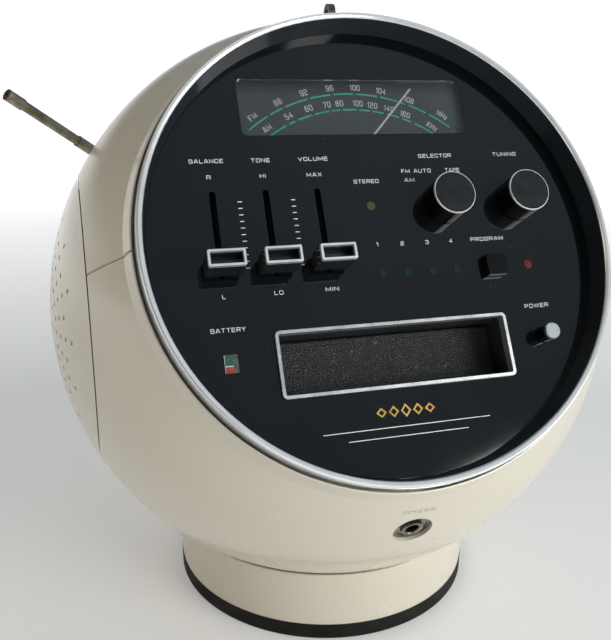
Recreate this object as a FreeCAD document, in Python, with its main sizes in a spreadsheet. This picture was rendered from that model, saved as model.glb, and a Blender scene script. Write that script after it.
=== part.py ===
"""Ball-shaped 8 track player with an AM/FM tuner, on a round pedestal.

World frame: the origin is the centre of the foot's underside, +Z is up and the
control face looks towards -Y, tilted back.  Pieces of the control face are drawn
in a face frame: its origin is the centre of the ball, x runs to the right, y up
the face and z out of the face.  Millimetres.
"""
import FreeCAD
import Part
import Sketcher
import math
import os

Vector = FreeCAD.Vector
Rotation = FreeCAD.Rotation
Placement = FreeCAD.Placement

doc = FreeCAD.newDocument("ball_player")
sheet = doc.addObject("Spreadsheet::Sheet", "Sizes")

SIZES = {
    # ball
    "ball_radius": 148.0,
    "ball_wall": 3.0,
    "ball_clearance": 13.0,
    "face_tilt": 31.0,
    "shell_gap": 0.4,
    "seam_width": 1.3,
    "seam_deep": 0.5,
    # mouth of the ball and the bright ring in it
    "mouth_inset": 36.9,
    "face_drop": 1.38,
    "lip_foot": 3.2,
    "lip_top": 0.7,
    "lip_ahead": 4.6,
    "flange_inset": 10.1,
    "flange_behind": 6.4,
    "flange_wall": 3.0,
    "ring_play": 1.3,
    "ring_wall": 2.5,
    "groove_ahead": 8.2,
    "groove_width": 0.9,
    "groove_depth": 0.5,
    "ring_ahead": 11.2,
    "sleeve_wall": 1.9,
    "sleeve_ahead": 10.0,
    "sleeve_ledge": 3.5,
    # face plate
    "face_wall": 3.1,
    "fit_play": 0.15,
    "post_radius": 3.5,
    "post_inset": 8.0,
    "post_low": -22.0,
    "post_high": 33.0,
    # slide controls
    "slot_width": 2.8,
    "slider_rise": 17.0,
    "slider_wide": 15.7,
    "slider_tall": 7.2,
    "slider_foot": 0.6,
    "slider_frame": 1.0,
    "slider_frame_deep": 2.2,
    "slider_hollow": 5.0,
    "arm_wide": 2.0,
    "arm_tall": 5.0,
    "control_wide": 9.0,
    "control_deep": 8.0,
    # rotary knobs
    "knob_rise": 13.2,
    "knob_foot_radius": 10.2,
    "knob_top_radius": 10.1,
    "knob_gap": 0.6,
    "cap_seat_inset": 0.8,
    "cap_band": 0.9,
    "cap_deep": 1.6,
    "shaft_radius": 3.0,
    "shaft_hole": 3.6,
    "switch_radius": 14.0,
    "gang_side": 24.0,
    "switch_deep": 8.0,
    # push buttons
    "program_side": 9.9,
    "program_rise": 4.3,
    "power_radius": 3.6,
    "power_rise": 9.0,
    "power_cap_deep": 1.6,
    "power_cap_radius": 3.85,
    "button_play": 0.25,
    "button_root": 7.0,
    # lamps
    "lamp_radius": 2.1,
    "lamp_rise": 0.3,
    # battery meter
    "meter_wide": 6.2,
    "meter_tall": 8.1,
    "meter_deep": 9.0,
    # dial
    "window_side": 11.7,
    "window_tall": 28.5,
    "window_corner": 3.0,
    "window_wall": 2.0,
    "scale_behind": 4.1,
    "scale_wall": 1.2,
    "scale_border": 4.0,
    "needle_length": 46.7,
    "needle_tail": 7.0,
    "needle_width": 0.9,
    "needle_wall": 0.4,
    "needle_angle": 46.6,
    "needle_shaft": 1.5,
    "needle_pulley": 9.0,
    # cartridge slot
    "tape_wide": 105.7,
    "tape_tall": 26.3,
    "trim_border": 1.4,
    "trim_rise": 1.6,
    "trim_spigot": 0.9,
    "guide_length": 108.4,
    "guide_wall": 1.5,
    "guide_border": 5.0,
    "door_depth": 15.5,
    "door_wall": 1.6,
    "door_play": 0.4,
    "door_pin": 1.0,
    "pin_play": 0.06,
    # speaker caps
    "cap_rise": 18.5,
    "cap_gap": 0.5,
    "spigot_wall": 2.6,
    "spigot_play": 0.3,
    "spigot_deep": 7.5,
    "ledge_deep": 3.5,
    "hole_radius": 1.2,
    "hole_ring_first": 8.4,
    "hole_ring_pitch": 7.45,
    "cone_radius": 50.0,
    "magnet_radius": 26.0,
    "speaker_deep": 45.5,
    # pedestal and foot
    "foot_radius": 85.3,
    "foot_height": 8.8,
    "foot_floor": 4.0,
    "foot_lip": 6.3,
    "foot_edge": 0.8,
    "pedestal_flare": 0.7,
    "pedestal_wall": 3.0,
    "pedestal_gap": 1.2,
    "seat_play": 0.3,
    "seat_width": 23.3,
    "seat_thick": 3.0,
    "plate_wall": 2.0,
    "screw_inset": 14.3,
    "screw_radius": 1.9,
    "screw_head": 4.0,
    "screw_head_deep": 2.4,
    "screw_length": 18.0,
    "boss_radius": 5.0,
    # headphone socket
    "jack_down": 28.5,
    "jack_hole": 9.2,
    "jack_sunk": 1.9,
    "jack_barrel": 7.0,
    "jack_collar": 11.4,
    "jack_collar_deep": 2.0,
    "jack_collar_gap": 0.6,
    "jack_bore": 3.2,
    "jack_deep": 20.0,
    # hanging eye
    "eye_wide": 3.3,
    "eye_deep": 9.6,
    "eye_rise": 7.5,
    "eye_hole": 2.3,
    # antenna
    "antenna_turn": 17.63,
    "antenna_up": 7.86,
    "antenna_lean": 55.4,
    "antenna_dip": 9.8,
    "hinge_rise": 12.0,
    "tube_outer": 3.4,
    "tube_skin": 0.5,
    "tube_play": 0.06,
    "tube_start": 7.0,
    "outer_end": 113.2,
    "middle_end": 153.5,
    "tip_end": 164.6,
    "tip_radius": 3.4,
    "middle_hidden": 50.0,
    "inner_hidden": 90.0,
    "stem_radius": 4.9,
    "stem_deep": 12.0,
    "socket_skin": 1.5,
    "ear_radius": 4.2,
    "ear_wall": 1.6,
    "lug_wall": 5.0,
    "hinge_pin": 1.4,
    # inside
    "chassis_behind": 14.9,
    "chassis_wall": 1.5,
    "chassis_border": 6.0,
    "chassis_low": -27.0,
    "chassis_high": 38.0,
    "board_behind": 19.5,
    "board_wall": 1.6,
    "board_left": -80.0,
    "board_right": 60.0,
    "board_low": -24.0,
    "board_high": 34.0,
    "deck_wall": 2.0,
    "deck_side": 12.5,
    "deck_tail": 44.0,
    "capstan_across": -40.0,
    "motor_across": 42.0,
    "flywheel_radius": 38.0,
    "flywheel_thick": 9.0,
    "capstan_behind": 12.0,
    "capstan_radius": 2.0,
    "motor_behind": 22.0,
    "motor_radius": 17.0,
    "motor_height": 36.0,
    "pulley_radius": 6.0,
    "belt_wall": 1.2,
    "belt_height": 4.0,
    "belt_play": 0.3,
    "core_wide": 54.0,
    "core_deep": 40.0,
    "core_tall": 36.0,
    "core_back": 50.0,
    "core_gap": 12.0,
    # battery compartment
    "door_half": 70.0,
    "door_low": -56.0,
    "door_high": 6.0,
    "cover_play": 0.5,
    "tray_back": 60.0,
    "tray_wall": 2.0,
    # rear sockets
    "socket_down": 42.0,
    "socket_deep": 13.0,
    "socket_half": 32.0,
    "socket_half_tall": 12.0,
    "socket_wall": 1.5,
    "inlet_across": -14.0,
    "jack_across": 14.0,
}

# Places on the control face, for a mouth of drawn_mouth.  They close up or spread with it.
PLACES = {
    "drawn_mouth": 111.1,
    "slider_pitch": 23.8,
    "slider_middle": -51.0,
    "slot_low": -13.3,
    "slot_high": 26.5,
    "slider_rest": -9.0,
    "selector_across": 33.2,
    "tuning_across": 71.3,
    "knob_up": 17.05,
    "program_across": 52.4,
    "program_up": -15.1,
    "power_across": 70.7,
    "power_up": -49.5,
    "stereo_across": -2.9,
    "stereo_up": 17.0,
    "program_lamp_first": -2.7,
    "program_lamp_pitch": 12.15,
    "lamp_row_up": -15.3,
    "pilot_across": 70.7,
    "meter_across": -75.0,
    "meter_up": -49.5,
    "window_across": -3.0,
    "window_up": 66.75,
    "pivot_across": -3.6,
    "pivot_up": 43.7,
    "slot_across": -1.5,
    "slot_up": -52.2,
}

# Sizes that follow others.
DERIVED = {
    "ball_height": "ball_radius + ball_clearance",
    "mouth_radius": "ball_radius - mouth_inset",
    "face_front": "sqrt(ball_radius ^ 2 - mouth_radius ^ 2) - face_drop",
    "lip_front": "face_front + lip_ahead",
    "flange_radius": "mouth_radius - flange_inset",
    "flange_front": "face_front - flange_behind",
    "ring_groove": "face_front + groove_ahead",
    "ring_front": "face_front + ring_ahead",
    "sleeve_front": "face_front + sleeve_ahead",
    "scale_front": "face_front - scale_behind",
    "chassis_front": "face_front - chassis_behind",
    "board_front": "chassis_front - board_behind",
    "guide_back": "face_front - guide_length",
    "cap_plane": "ball_radius - cap_rise",
    "spigot_inside": "cap_plane - spigot_deep",
    "speaker_ledge": "cap_plane - ledge_deep",
    "magnet_back": "cap_plane - speaker_deep",
    "pedestal_top_radius": "foot_radius + pedestal_flare",
    "seat_inner": "foot_radius - seat_width",
    "pedestal_screw_circle": "foot_radius - screw_inset",
    "capstan_depth": "guide_back - capstan_behind",
    "motor_depth": "guide_back - motor_behind",
    "socket_middle": "-ball_radius * sin(socket_down)",
    "socket_low": "socket_middle - socket_half_tall",
    "socket_high": "socket_middle + socket_half_tall",
    "socket_back": "ball_radius * cos(socket_down) - socket_deep",
    "core_corner": "(ball_radius - ball_wall) ^ 2 - core_wide ^ 2 / 4 - (core_back + core_deep / 2) ^ 2",
    "core_low": "core_gap - sqrt(core_corner)",
}

for row, (alias, value) in enumerate(list(SIZES.items()) + list(PLACES.items()), start=1):
    sheet.set("A%d" % row, alias)
    sheet.set("B%d" % row, str(value))
    sheet.setAlias("B%d" % row, alias)
doc.recompute()


def size(alias):
    """Number held by one cell of the sheet, or a place moved with the mouth."""
    number = float(sheet.get(alias))
    if alias in PLACES:
        number *= (size("ball_radius") - size("mouth_inset")) / float(sheet.get("drawn_mouth"))
    return number


def face_depth():
    """Height of the control face over the centre of the ball."""
    mouth = size("ball_radius") - size("mouth_inset")
    return math.sqrt(size("ball_radius") ** 2 - mouth ** 2) - size("face_drop")


def pointed(word):
    """One size name as an expression on the sheet, or the word itself."""
    if word in DERIVED:
        return "(%s)" % bound(DERIVED[word])
    if word in PLACES:
        return "(Sizes.%s * (Sizes.ball_radius - Sizes.mouth_inset) / Sizes.drawn_mouth)" % word
    if word in SIZES:
        return "Sizes." + word
    return word


def bound(expression):
    """Expression with each size name pointed at the sheet."""
    text = ""
    word = ""
    for sign in str(expression) + " ":
        if sign.isalnum() or sign == "_":
            word += sign
            continue
        text += pointed(word) + sign
        word = ""
    return text.strip()


def bind(thing, settings):
    for name, expression in settings.items():
        thing.setExpression(name, bound(expression))


# ---------------------------------------------------------------- solids

def ball(name, radius):
    solid = doc.addObject("Part::Sphere", name)
    bind(solid, {"Radius": radius})
    return solid


def block(name, low, high):
    """Box between two corners, each a triple of expressions."""
    solid = doc.addObject("Part::Box", name)
    for side, axis, a, b in zip(("Length", "Width", "Height"), "xyz", low, high):
        bind(solid, {side: "(%s) - (%s)" % (b, a), "Placement.Base." + axis: a})
    return solid


def rod(name, radius, start, end, x=0, y=0):
    """Cylinder along z from start to end."""
    solid = doc.addObject("Part::Cylinder", name)
    bind(solid, {"Radius": radius, "Height": "(%s) - (%s)" % (end, start)})
    bind(solid, {"Placement.Base.x": x, "Placement.Base.y": y, "Placement.Base.z": start})
    return solid


def rod_x(name, radius, start, end, y=0, z=0):
    """Cylinder along x from start to end."""
    solid = doc.addObject("Part::Cylinder", name)
    solid.Placement = Placement(Vector(), Rotation(Vector(0, 1, 0), 90))
    bind(solid, {"Radius": radius, "Height": "(%s) - (%s)" % (end, start)})
    bind(solid, {"Placement.Base.x": start, "Placement.Base.y": y, "Placement.Base.z": z})
    return solid


def rod_y(name, radius, start, end, x=0, z=0):
    """Cylinder along y from start to end."""
    solid = doc.addObject("Part::Cylinder", name)
    solid.Placement = Placement(Vector(), Rotation(Vector(1, 0, 0), -90))
    bind(solid, {"Radius": radius, "Height": "(%s) - (%s)" % (end, start)})
    bind(solid, {"Placement.Base.x": x, "Placement.Base.y": start, "Placement.Base.z": z})
    return solid


def outline(body, name, plane, points):
    """Closed sketch of straight lines whose corners are bound to the sheet."""
    sketch = body.newObject("Sketcher::SketchObject", name)
    base = next(f for f in body.Origin.OriginFeatures if f.Role == plane)
    sketch.AttachmentSupport = [(base, "")]
    sketch.MapMode = "FlatFace"
    count = len(points)
    start = []
    for number in range(count):
        turn = 2 * math.pi * number / count
        start.append(Vector(60 + 30 * math.cos(turn), 30 * math.sin(turn), 0))
    lines = [Part.LineSegment(start[i], start[(i + 1) % count]) for i in range(count)]
    sketch.addGeometry(lines, False)
    for i in range(count):
        sketch.addConstraint(Sketcher.Constraint("Coincident", i, 2, (i + 1) % count, 1))
    for i, corner in enumerate(points):
        for kind, place, expression in zip(("DistanceX", "DistanceY"), start[i], corner):
            rule = sketch.addConstraint(Sketcher.Constraint(kind, i, 1, place))
            sketch.setExpression("Constraints[%d]" % rule, bound(expression))
    return sketch


def turned(name, points):
    """Ring or disc turned about z, from (radius, height) corners."""
    body = doc.addObject("PartDesign::Body", name)
    sketch = outline(body, name + "_outline", "XZ_Plane", points)
    turn = body.newObject("PartDesign::Revolution", name + "_turn")
    turn.Profile = sketch
    turn.ReferenceAxis = (sketch, ["V_Axis"])
    turn.Angle = 360
    return body


def cut(name, base, *tools):
    result = base
    for number, tool in enumerate(tools):
        step = doc.addObject("Part::Cut", "%s_cut_%d" % (name, number))
        step.Base = result
        step.Tool = tool
        result = step
    return result


def fuse(name, *solids):
    result = doc.addObject("Part::MultiFuse", name + "_fuse")
    result.Shapes = list(solids)
    result.Refine = True
    return result


def common(name, base, tool):
    result = doc.addObject("Part::Common", name + "_common")
    result.Base = base
    result.Tool = tool
    return result


def group(name, solids):
    """Separate solids that share one node."""
    result = doc.addObject("Part::Compound", name + "_group")
    result.Links = list(solids)
    return result


def rounded(name, x, y, wide, tall, corner, start, end):
    """Rectangular plate with rounded corners, centred on x, y."""
    low_x = "(%s) - (%s) / 2" % (x, wide)
    high_x = "(%s) + (%s) / 2" % (x, wide)
    low_y = "(%s) - (%s) / 2" % (y, tall)
    high_y = "(%s) + (%s) / 2" % (y, tall)
    near_x = "%s + (%s)" % (low_x, corner)
    far_x = "%s - (%s)" % (high_x, corner)
    near_y = "%s + (%s)" % (low_y, corner)
    far_y = "%s - (%s)" % (high_y, corner)
    pieces = [
        block(name + "_across", (low_x, near_y, start), (high_x, far_y, end)),
        block(name + "_along", (near_x, low_y, start), (far_x, high_y, end)),
    ]
    for number, (cx, cy) in enumerate([(a, b) for a in (near_x, far_x) for b in (near_y, far_y)]):
        pieces.append(rod("%s_corner_%d" % (name, number), corner, start, end, cx, cy))
    return fuse(name, *pieces)


# ---------------------------------------------------------------- frames

nodes = {}


def keep(label, thing):
    thing.Label = label
    nodes[label] = thing
    return thing


def on_face(thing):
    """Place a piece that was drawn in the face frame."""
    thing.Placement = Placement(Vector(), Rotation(Vector(1, 0, 0), 90 - size("face_tilt")))
    bind(thing, {"Placement.Base.z": "ball_height", "Placement.Rotation.Angle": "90 - face_tilt"})
    return thing


def at_centre(thing):
    """Place a piece that was drawn about the centre of the ball, upright."""
    bind(thing, {"Placement.Base.z": "ball_height"})
    return thing


FAR = "2 * ball_radius"
INNER = "(ball_radius - ball_wall)"


# ---------------------------------------------------------------- ball

def shell_wall():
    """Hollow ball with its mouth, raised lip and the flange that carries the face."""
    skin = cut("skin", ball("skin_out", "ball_radius"), ball("skin_in", INNER))
    lip_foot = "mouth_radius + lip_foot"
    lip = turned("lip", [
        ("mouth_radius - 1", "flange_front"),
        (lip_foot, "sqrt(ball_radius ^ 2 - (%s) ^ 2)" % lip_foot),
        ("mouth_radius + lip_top", "lip_front"),
        ("mouth_radius - 1", "lip_front"),
    ])
    flange_back = "flange_front - flange_wall"
    middle = "sqrt((ball_radius - ball_wall) ^ 2 - (%s) ^ 2) + ball_wall / 2"
    flange = turned("flange", [
        ("flange_radius", flange_back),
        (middle % flange_back, flange_back),
        (middle % "flange_front", "flange_front"),
        ("flange_radius", "flange_front"),
    ])
    wall = fuse("shell_wall", skin, lip, flange)
    mouth = rod("mouth", "mouth_radius", "flange_front", FAR)
    throat = rod("throat", "flange_radius", "flange_front - 2 * flange_wall", FAR)
    seam = block("seam_slab", ("-" + FAR, "-seam_width / 2", "-" + FAR), (FAR, "seam_width / 2", FAR))
    seam = cut("seam", seam, ball("seam_ball", "ball_radius - seam_deep"))
    wall = cut("shell_mouth", wall, mouth, throat, seam)
    reach = "cap_plane - cap_gap / 2"
    slab = block("shell_slab", ("-(%s)" % reach, "-" + FAR, "-" + FAR), (reach, FAR, FAR))
    return common("shell_sides", wall, slab)


def half_shell(name, side, wall):
    if side > 0:
        half = block(name + "_half", ("-" + FAR, "shell_gap / 2", "-" + FAR), (FAR, FAR, FAR))
    else:
        half = block(name + "_half", ("-" + FAR, "-" + FAR, "-" + FAR), (FAR, "-shell_gap / 2", FAR))
    return on_face(common(name, wall, half))


def radial(turn, lift, reach):
    """Placement at a point of the ball, z outwards.  Turn is from +Y towards -X."""
    outward = Rotation(Vector(0, 0, 1), Vector(0, 1, 0))
    tilt = Rotation(Vector(1, 0, 0), lift)
    swing = Rotation(Vector(0, 0, 1), turn)
    rotation = swing.multiply(tilt).multiply(outward)
    centre = Vector(0, 0, size("ball_radius") + size("ball_clearance"))
    return Placement(centre + rotation.multVec(Vector(0, 0, reach)), rotation)


def battery_opening(name, play):
    """Block that cuts the battery opening through the back of the ball."""
    low = ("-door_half + " + play, "tray_back", "ball_height + door_low + " + play)
    high = ("door_half - " + play, FAR, "ball_height + door_high - " + play)
    return block(name, low, high)


def socket_block(name, inset, back):
    low = ("-socket_half + " + inset, back, "ball_height + socket_low + " + inset)
    high = ("socket_half - " + inset, FAR, "ball_height + socket_high - " + inset)
    return block(name, low, high)


def screw_points():
    circle = size("foot_radius") - size("screw_inset")
    for number in range(3):
        turn = math.radians(30 + 120 * number)
        yield circle * math.cos(turn), circle * math.sin(turn)


def seat_height(radius, reach):
    """Height of a ball-shaped seat of radius reach, at a distance from the axis."""
    return "ball_height - sqrt((%s) ^ 2 - (%s) ^ 2)" % (reach, radius)


wall = shell_wall()

upper = half_shell("upper", 1, wall)
eye_slot = block("eye_slot", ("-eye_wide / 2 - fit_play", "-eye_deep / 2 - fit_play", "ball_height"),
                 ("eye_wide / 2 + fit_play", "eye_deep / 2 + fit_play", FAR + " + ball_height"))
antenna_bore = group("antenna_bore", [rod("antenna_drill", "stem_radius + socket_skin + fit_play", -20, 20)])
antenna_bore.Placement = radial(size("antenna_turn"), size("antenna_up"), size("ball_radius"))
keep("upper_shell", cut("upper_shell", upper, eye_slot, antenna_bore, battery_opening("battery_cut", "0")))

lower = half_shell("lower", -1, wall)
jack_bore = group("jack_bore", [rod("jack_drill", "jack_hole", -20, 20)])
jack_bore.Placement = radial(180, -size("jack_down"), size("ball_radius"))
bosses = []
drills = []
boss_top = seat_height("pedestal_screw_circle", INNER) + " + screw_length"
for number, (x, y) in enumerate(screw_points()):
    boss_foot = seat_height("pedestal_screw_circle", "ball_radius")
    bosses.append(rod("boss_%d" % number, "boss_radius", boss_foot, boss_top, x, y))
    drills.append(rod("boss_drill_%d" % number, "screw_radius", 0, boss_top + " - 2", x, y))
post_top = "ball_height + core_low"
for number, (a, b) in enumerate([(a, b) for a in (-1, 1) for b in (-1, 1)]):
    x = "%d * (core_wide / 2 - 5)" % a
    y = "core_back + %d * (core_deep / 2 - 6)" % b
    bosses.append(rod("post_%d" % number, 4, "ball_clearance", post_top, x, y))
boss_ball = at_centre(ball("boss_ball", "ball_radius - ball_wall / 2"))
lower_solid = fuse("lower_solid", lower, common("bosses", group("bosses", bosses), boss_ball))
keep("lower_shell", cut("lower_shell", lower_solid, jack_bore,
                        socket_block("socket_cut", "0", "socket_back - 5"), group("boss_drills", drills)))


# ---------------------------------------------------------------- speaker caps

def grille_holes(side):
    """Rays of small holes through a speaker cap."""
    holes = []
    rays = 28
    for ray in range(rays):
        turn = 2 * math.pi * (ray + 0.7) / rays
        if ray % 4 == 1:
            rings = range(0, 7)
        elif ray % 4 == 3:
            rings = range(2, 7)
        else:
            rings = range(3, 6)
        for ring in rings:
            reach = size("hole_ring_first") + size("hole_ring_pitch") * ring
            y = reach * math.cos(turn)
            z = reach * math.sin(turn)
            start = Vector(side * (size("ball_radius") - size("cap_rise") - size("ledge_deep") + 1), y, z)
            holes.append(Part.makeCylinder(size("hole_radius"), 40, start, Vector(side, 0, 0)))
    feature = doc.addObject("Part::Feature", "grille_holes")
    feature.Shape = Part.makeCompound(holes)
    return feature


spigot_rim = "sqrt((ball_radius - ball_wall) ^ 2 - (cap_plane - cap_gap / 2) ^ 2) - spigot_play"


def speaker_cap(name, side):
    skin = cut(name + "_skin", ball(name + "_out", "ball_radius"), ball(name + "_in", INNER))
    near = "%d * (cap_plane + cap_gap / 2)" % side
    far = "%d * %s" % (side, FAR)
    low, high = (near, far) if side > 0 else (far, near)
    dish = common(name + "_dish", skin, block(name + "_side", (low, "-" + FAR, "-" + FAR), (high, FAR, FAR)))
    rim = spigot_rim
    spigot = turned(name + "_spigot", [
        ("%s - spigot_wall" % rim, "spigot_inside"),
        (rim, "spigot_inside"),
        (rim, "cap_plane + ball_wall"),
        ("%s - 2 * spigot_wall" % rim, "cap_plane + 2 * ball_wall"),
        ("%s - 2 * spigot_wall" % rim, "speaker_ledge"),
        ("%s - spigot_wall" % rim, "speaker_ledge"),
    ])
    spigot.Placement = Placement(Vector(), Rotation(Vector(0, 1, 0), 90 * side))
    inside = common(name + "_spigot_in", spigot, ball(name + "_spigot_ball", "ball_radius - ball_wall / 2"))
    return at_centre(cut(name, fuse(name + "_solid", dish, inside), grille_holes(side)))


def speaker(name, side):
    """Loudspeaker: frame, cone and magnet, facing outwards through its cap."""
    rim = "%s - spigot_wall - spigot_play" % spigot_rim
    body = turned(name, [
        (0, "magnet_back"),
        ("magnet_radius", "magnet_back"),
        ("magnet_radius", "magnet_back + 16"),
        ("magnet_radius + 4", "magnet_back + 18"),
        ("cone_radius", "speaker_ledge - 10"),
        ("cone_radius", "speaker_ledge - 2"),
        (rim, "speaker_ledge - 2"),
        (rim, "speaker_ledge"),
        ("cone_radius", "speaker_ledge"),
        ("cone_radius - 3", "speaker_ledge - 4"),
        ("magnet_radius - 10", "magnet_back + 26"),
        (0, "magnet_back + 31"),
    ])
    body.Placement = Placement(Vector(), Rotation(Vector(0, 1, 0), 90 * side))
    return at_centre(body)


for side, word in ((-1, "left"), (1, "right")):
    keep(word + "_speaker_cap", speaker_cap(word + "_cap", side))
    keep(word + "_speaker", speaker(word + "_driver", side))


# ---------------------------------------------------------------- ring and face

ring_out = "mouth_radius - ring_play"
ring_in = "mouth_radius - ring_play - ring_wall"
groove_end = "ring_groove + groove_width"
ring = turned("front_ring", [
    (ring_in, "flange_front"),
    (ring_out, "flange_front"),
    (ring_out, "ring_groove"),
    (ring_out + " - groove_depth", "ring_groove"),
    (ring_out + " - groove_depth", groove_end),
    (ring_out + " - 0.15", groove_end),
    (ring_out + " - 0.15", "ring_front - 0.9"),
    (ring_out + " - 0.5", "ring_front - 0.3"),
    (ring_out + " - 1.2", "ring_front"),
    (ring_out + " - 1.9", "ring_front - 0.1"),
    (ring_out + " - 2.6", "ring_front - 0.5"),
    (ring_out + " - 2.9", "ring_front - 1"),
    (ring_out + " - 2.9", "sleeve_front + 0.1"),
    (ring_in, "sleeve_front + 0.1"),
])
keep("front_ring", on_face(ring))

sleeve_out = ring_in + " - fit_play"
sleeve_in = sleeve_out + " - sleeve_wall"
face_radius = "(%s - fit_play)" % sleeve_in
window_top = "(window_up + window_tall / 2)"
window_wide = "(2 * (sqrt(%s ^ 2 - %s ^ 2) - window_side))" % (face_radius, window_top)
post_across = "(sqrt((flange_radius - post_inset) ^ 2 - post_high ^ 2))"
chassis_half = "(%s + chassis_border)" % post_across
sleeve = turned("bezel_sleeve", [
    (sleeve_in + " - sleeve_ledge", "flange_front"),
    (sleeve_out, "flange_front"),
    (sleeve_out, "sleeve_front"),
    (sleeve_out + " - 0.5", "sleeve_front"),
    (sleeve_in, "face_front"),
    (sleeve_in, "face_front - face_wall"),
    (sleeve_in + " - sleeve_ledge", "face_front - face_wall"),
])
keep("bezel_sleeve", on_face(sleeve))

face_back = "(face_front - face_wall)"
PLUNGE = "face_front + 5"
trim_wide = "tape_wide + 2 * trim_spigot"
trim_tall = "tape_tall + 2 * trim_spigot"


def slider_across(number):
    return "slider_middle + (%d) * slider_pitch" % number


def face_cuts():
    cuts = []
    for number in (-1, 0, 1):
        x = slider_across(number)
        tall = "slot_high - slot_low"
        middle = "(slot_high + slot_low) / 2"
        cuts.append(rounded("slot_%d" % (number + 1), x, middle, "slot_width", tall,
                            "slot_width / 2 - 0.01", face_back + " - 1", PLUNGE))
    for number, x in enumerate(("selector_across", "tuning_across")):
        cuts.append(rod("shaft_cut_%d" % number, "shaft_hole", face_back + " - 1", PLUNGE, x, "knob_up"))
    cuts.append(rounded("program_cut", "program_across", "program_up", "program_side + 2 * button_play",
                        "program_side + 2 * button_play", 0.8, face_back + " - 1", PLUNGE))
    cuts.append(rod("power_cut", "power_radius + button_play", face_back + " - 1", PLUNGE,
                    "power_across", "power_up"))
    cuts.append(block("meter_cut",
                      ("meter_across - meter_wide / 2", "meter_up - meter_tall / 2", face_back + " - 1"),
                      ("meter_across + meter_wide / 2", "meter_up + meter_tall / 2", PLUNGE)))
    cuts.append(rounded("window_cut", "window_across", "window_up", window_wide, "window_tall",
                        "window_corner", face_back + " - 1", PLUNGE))
    cuts.append(rounded("tape_cut", "slot_across", "slot_up", trim_wide + " + 2 * fit_play",
                        trim_tall + " + 2 * fit_play", 2.0, face_back + " - 1", PLUNGE))
    for number, (x, y) in enumerate(lamp_places()):
        cuts.append(rod("lamp_cut_%d" % number, "lamp_radius", face_back + " - 1", PLUNGE, x, y))
    return cuts


def lamp_places():
    places = [("stereo_across", "stereo_up"), ("pilot_across", "lamp_row_up")]
    for number in range(4):
        places.append(("program_lamp_first + %d * program_lamp_pitch" % number, "lamp_row_up"))
    return places


corners = [(a, b) for a in (-1, 1) for b in (-1, 1)]
face_solids = [rod("face_disc", face_radius, face_back, "face_front")]
for number, (a, b) in enumerate(corners):
    post = rod("face_post_%d" % number, "post_radius", "chassis_front", face_back + " + 1",
               "%d * %s" % (a, post_across), "post_high" if b > 0 else "post_low")
    face_solids.append(post)
for number, (a, b) in enumerate(corners):
    x = "window_across + %d * (%s / 2 + scale_border / 2)" % (a, window_wide)
    y = "window_up + %d * (window_tall / 2 - scale_border)" % b
    post = rod("scale_post_%d" % number, "scale_border / 2 - 0.2", "scale_front", face_back + " + 1", x, y)
    face_solids.append(post)
face = cut("face_plate", fuse("face_solid", *face_solids), *face_cuts())
keep("face_plate", on_face(face))

window = rounded("window", "window_across", "window_up", window_wide + " - 2 * fit_play",
                 "window_tall - 2 * fit_play", "window_corner - fit_play",
                 "face_front - window_wall", "face_front")
keep("dial_window", on_face(window))

# ---------------------------------------------------------------- dial

scale_wide = window_wide + " / 2 + scale_border"
scale_low = "pivot_up - needle_pulley / 2"
scale_high = "window_up + window_tall / 2 + scale_border"
scale = block("scale", ("window_across - (%s)" % scale_wide, scale_low, "scale_front - scale_wall"),
              ("window_across + (%s)" % scale_wide, scale_high, "scale_front"))
scale_hole = rod("scale_hole", "needle_shaft + 0.3", "scale_front - 5", PLUNGE, "pivot_across", "pivot_up")
scale_disc = rod("scale_disc", "flange_radius - 0.5", "scale_front - scale_wall", "scale_front")
keep("dial_scale", on_face(common("dial_scale", cut("scale_drilled", scale, scale_hole), scale_disc)))

needle_low = "scale_front + 0.3"
needle_high = "scale_front + 0.3 + needle_wall"
blade = block("blade", ("-needle_tail", "-needle_width / 2", needle_low),
              ("needle_length", "needle_width / 2", needle_high))
hub = rod("needle_hub", 2.5, needle_low, needle_high)
needle_rod = rod("needle_rod", "needle_shaft", "chassis_front + 0.5", needle_high)
pulley = rod("needle_wheel", "needle_pulley", "chassis_front + 2", "chassis_front + 5")
needle_parts = fuse("needle", blade, hub, needle_rod, pulley)
bind(needle_parts, {"Placement.Base.x": "pivot_across", "Placement.Base.y": "pivot_up"})
needle_parts.Placement = Placement(Vector(), Rotation(Vector(0, 0, 1), size("needle_angle")))
bind(needle_parts, {"Placement.Rotation.Angle": "needle_angle"})
keep("dial_needle", on_face(group("needle", [needle_parts])))


# ---------------------------------------------------------------- sliders

def slider_block(name, number, side, end, start, stop):
    """Box centred on a slider, drawn in from the slider's sides and ends."""
    x = slider_across(number)
    low = ("%s - slider_wide / 2 + (%s)" % (x, side), "slider_rest - slider_tall / 2 + (%s)" % end, start)
    high = ("%s + slider_wide / 2 - (%s)" % (x, side), "slider_rest + slider_tall / 2 - (%s)" % end, stop)
    return block(name, low, high)


def slider_knob(number):
    """Knob body with its arm, seen as a tapered block with a hollow front."""
    foot = "face_front + slider_foot"
    body_top = "face_front + slider_rise - slider_frame_deep"
    place = number + 1
    head = slider_block("head_%d" % place, number, "0", "0", foot + " + 3", body_top)
    base = slider_block("base_%d" % place, number, "0.3", "0.5", foot, foot + " + 4")
    side = "(slider_wide - arm_wide) / 2"
    arm = slider_block("arm_%d" % place, number, side, "(slider_tall - arm_tall) / 2",
                       "chassis_front + 2.5", foot + " + 4")
    hollow = slider_block("hollow_%d" % place, number, "slider_frame", "slider_frame",
                          body_top + " - slider_hollow", body_top + " + 1")
    return cut("slider_%d" % place, fuse("slider_body_%d" % place, head, base, arm), hollow)


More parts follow.
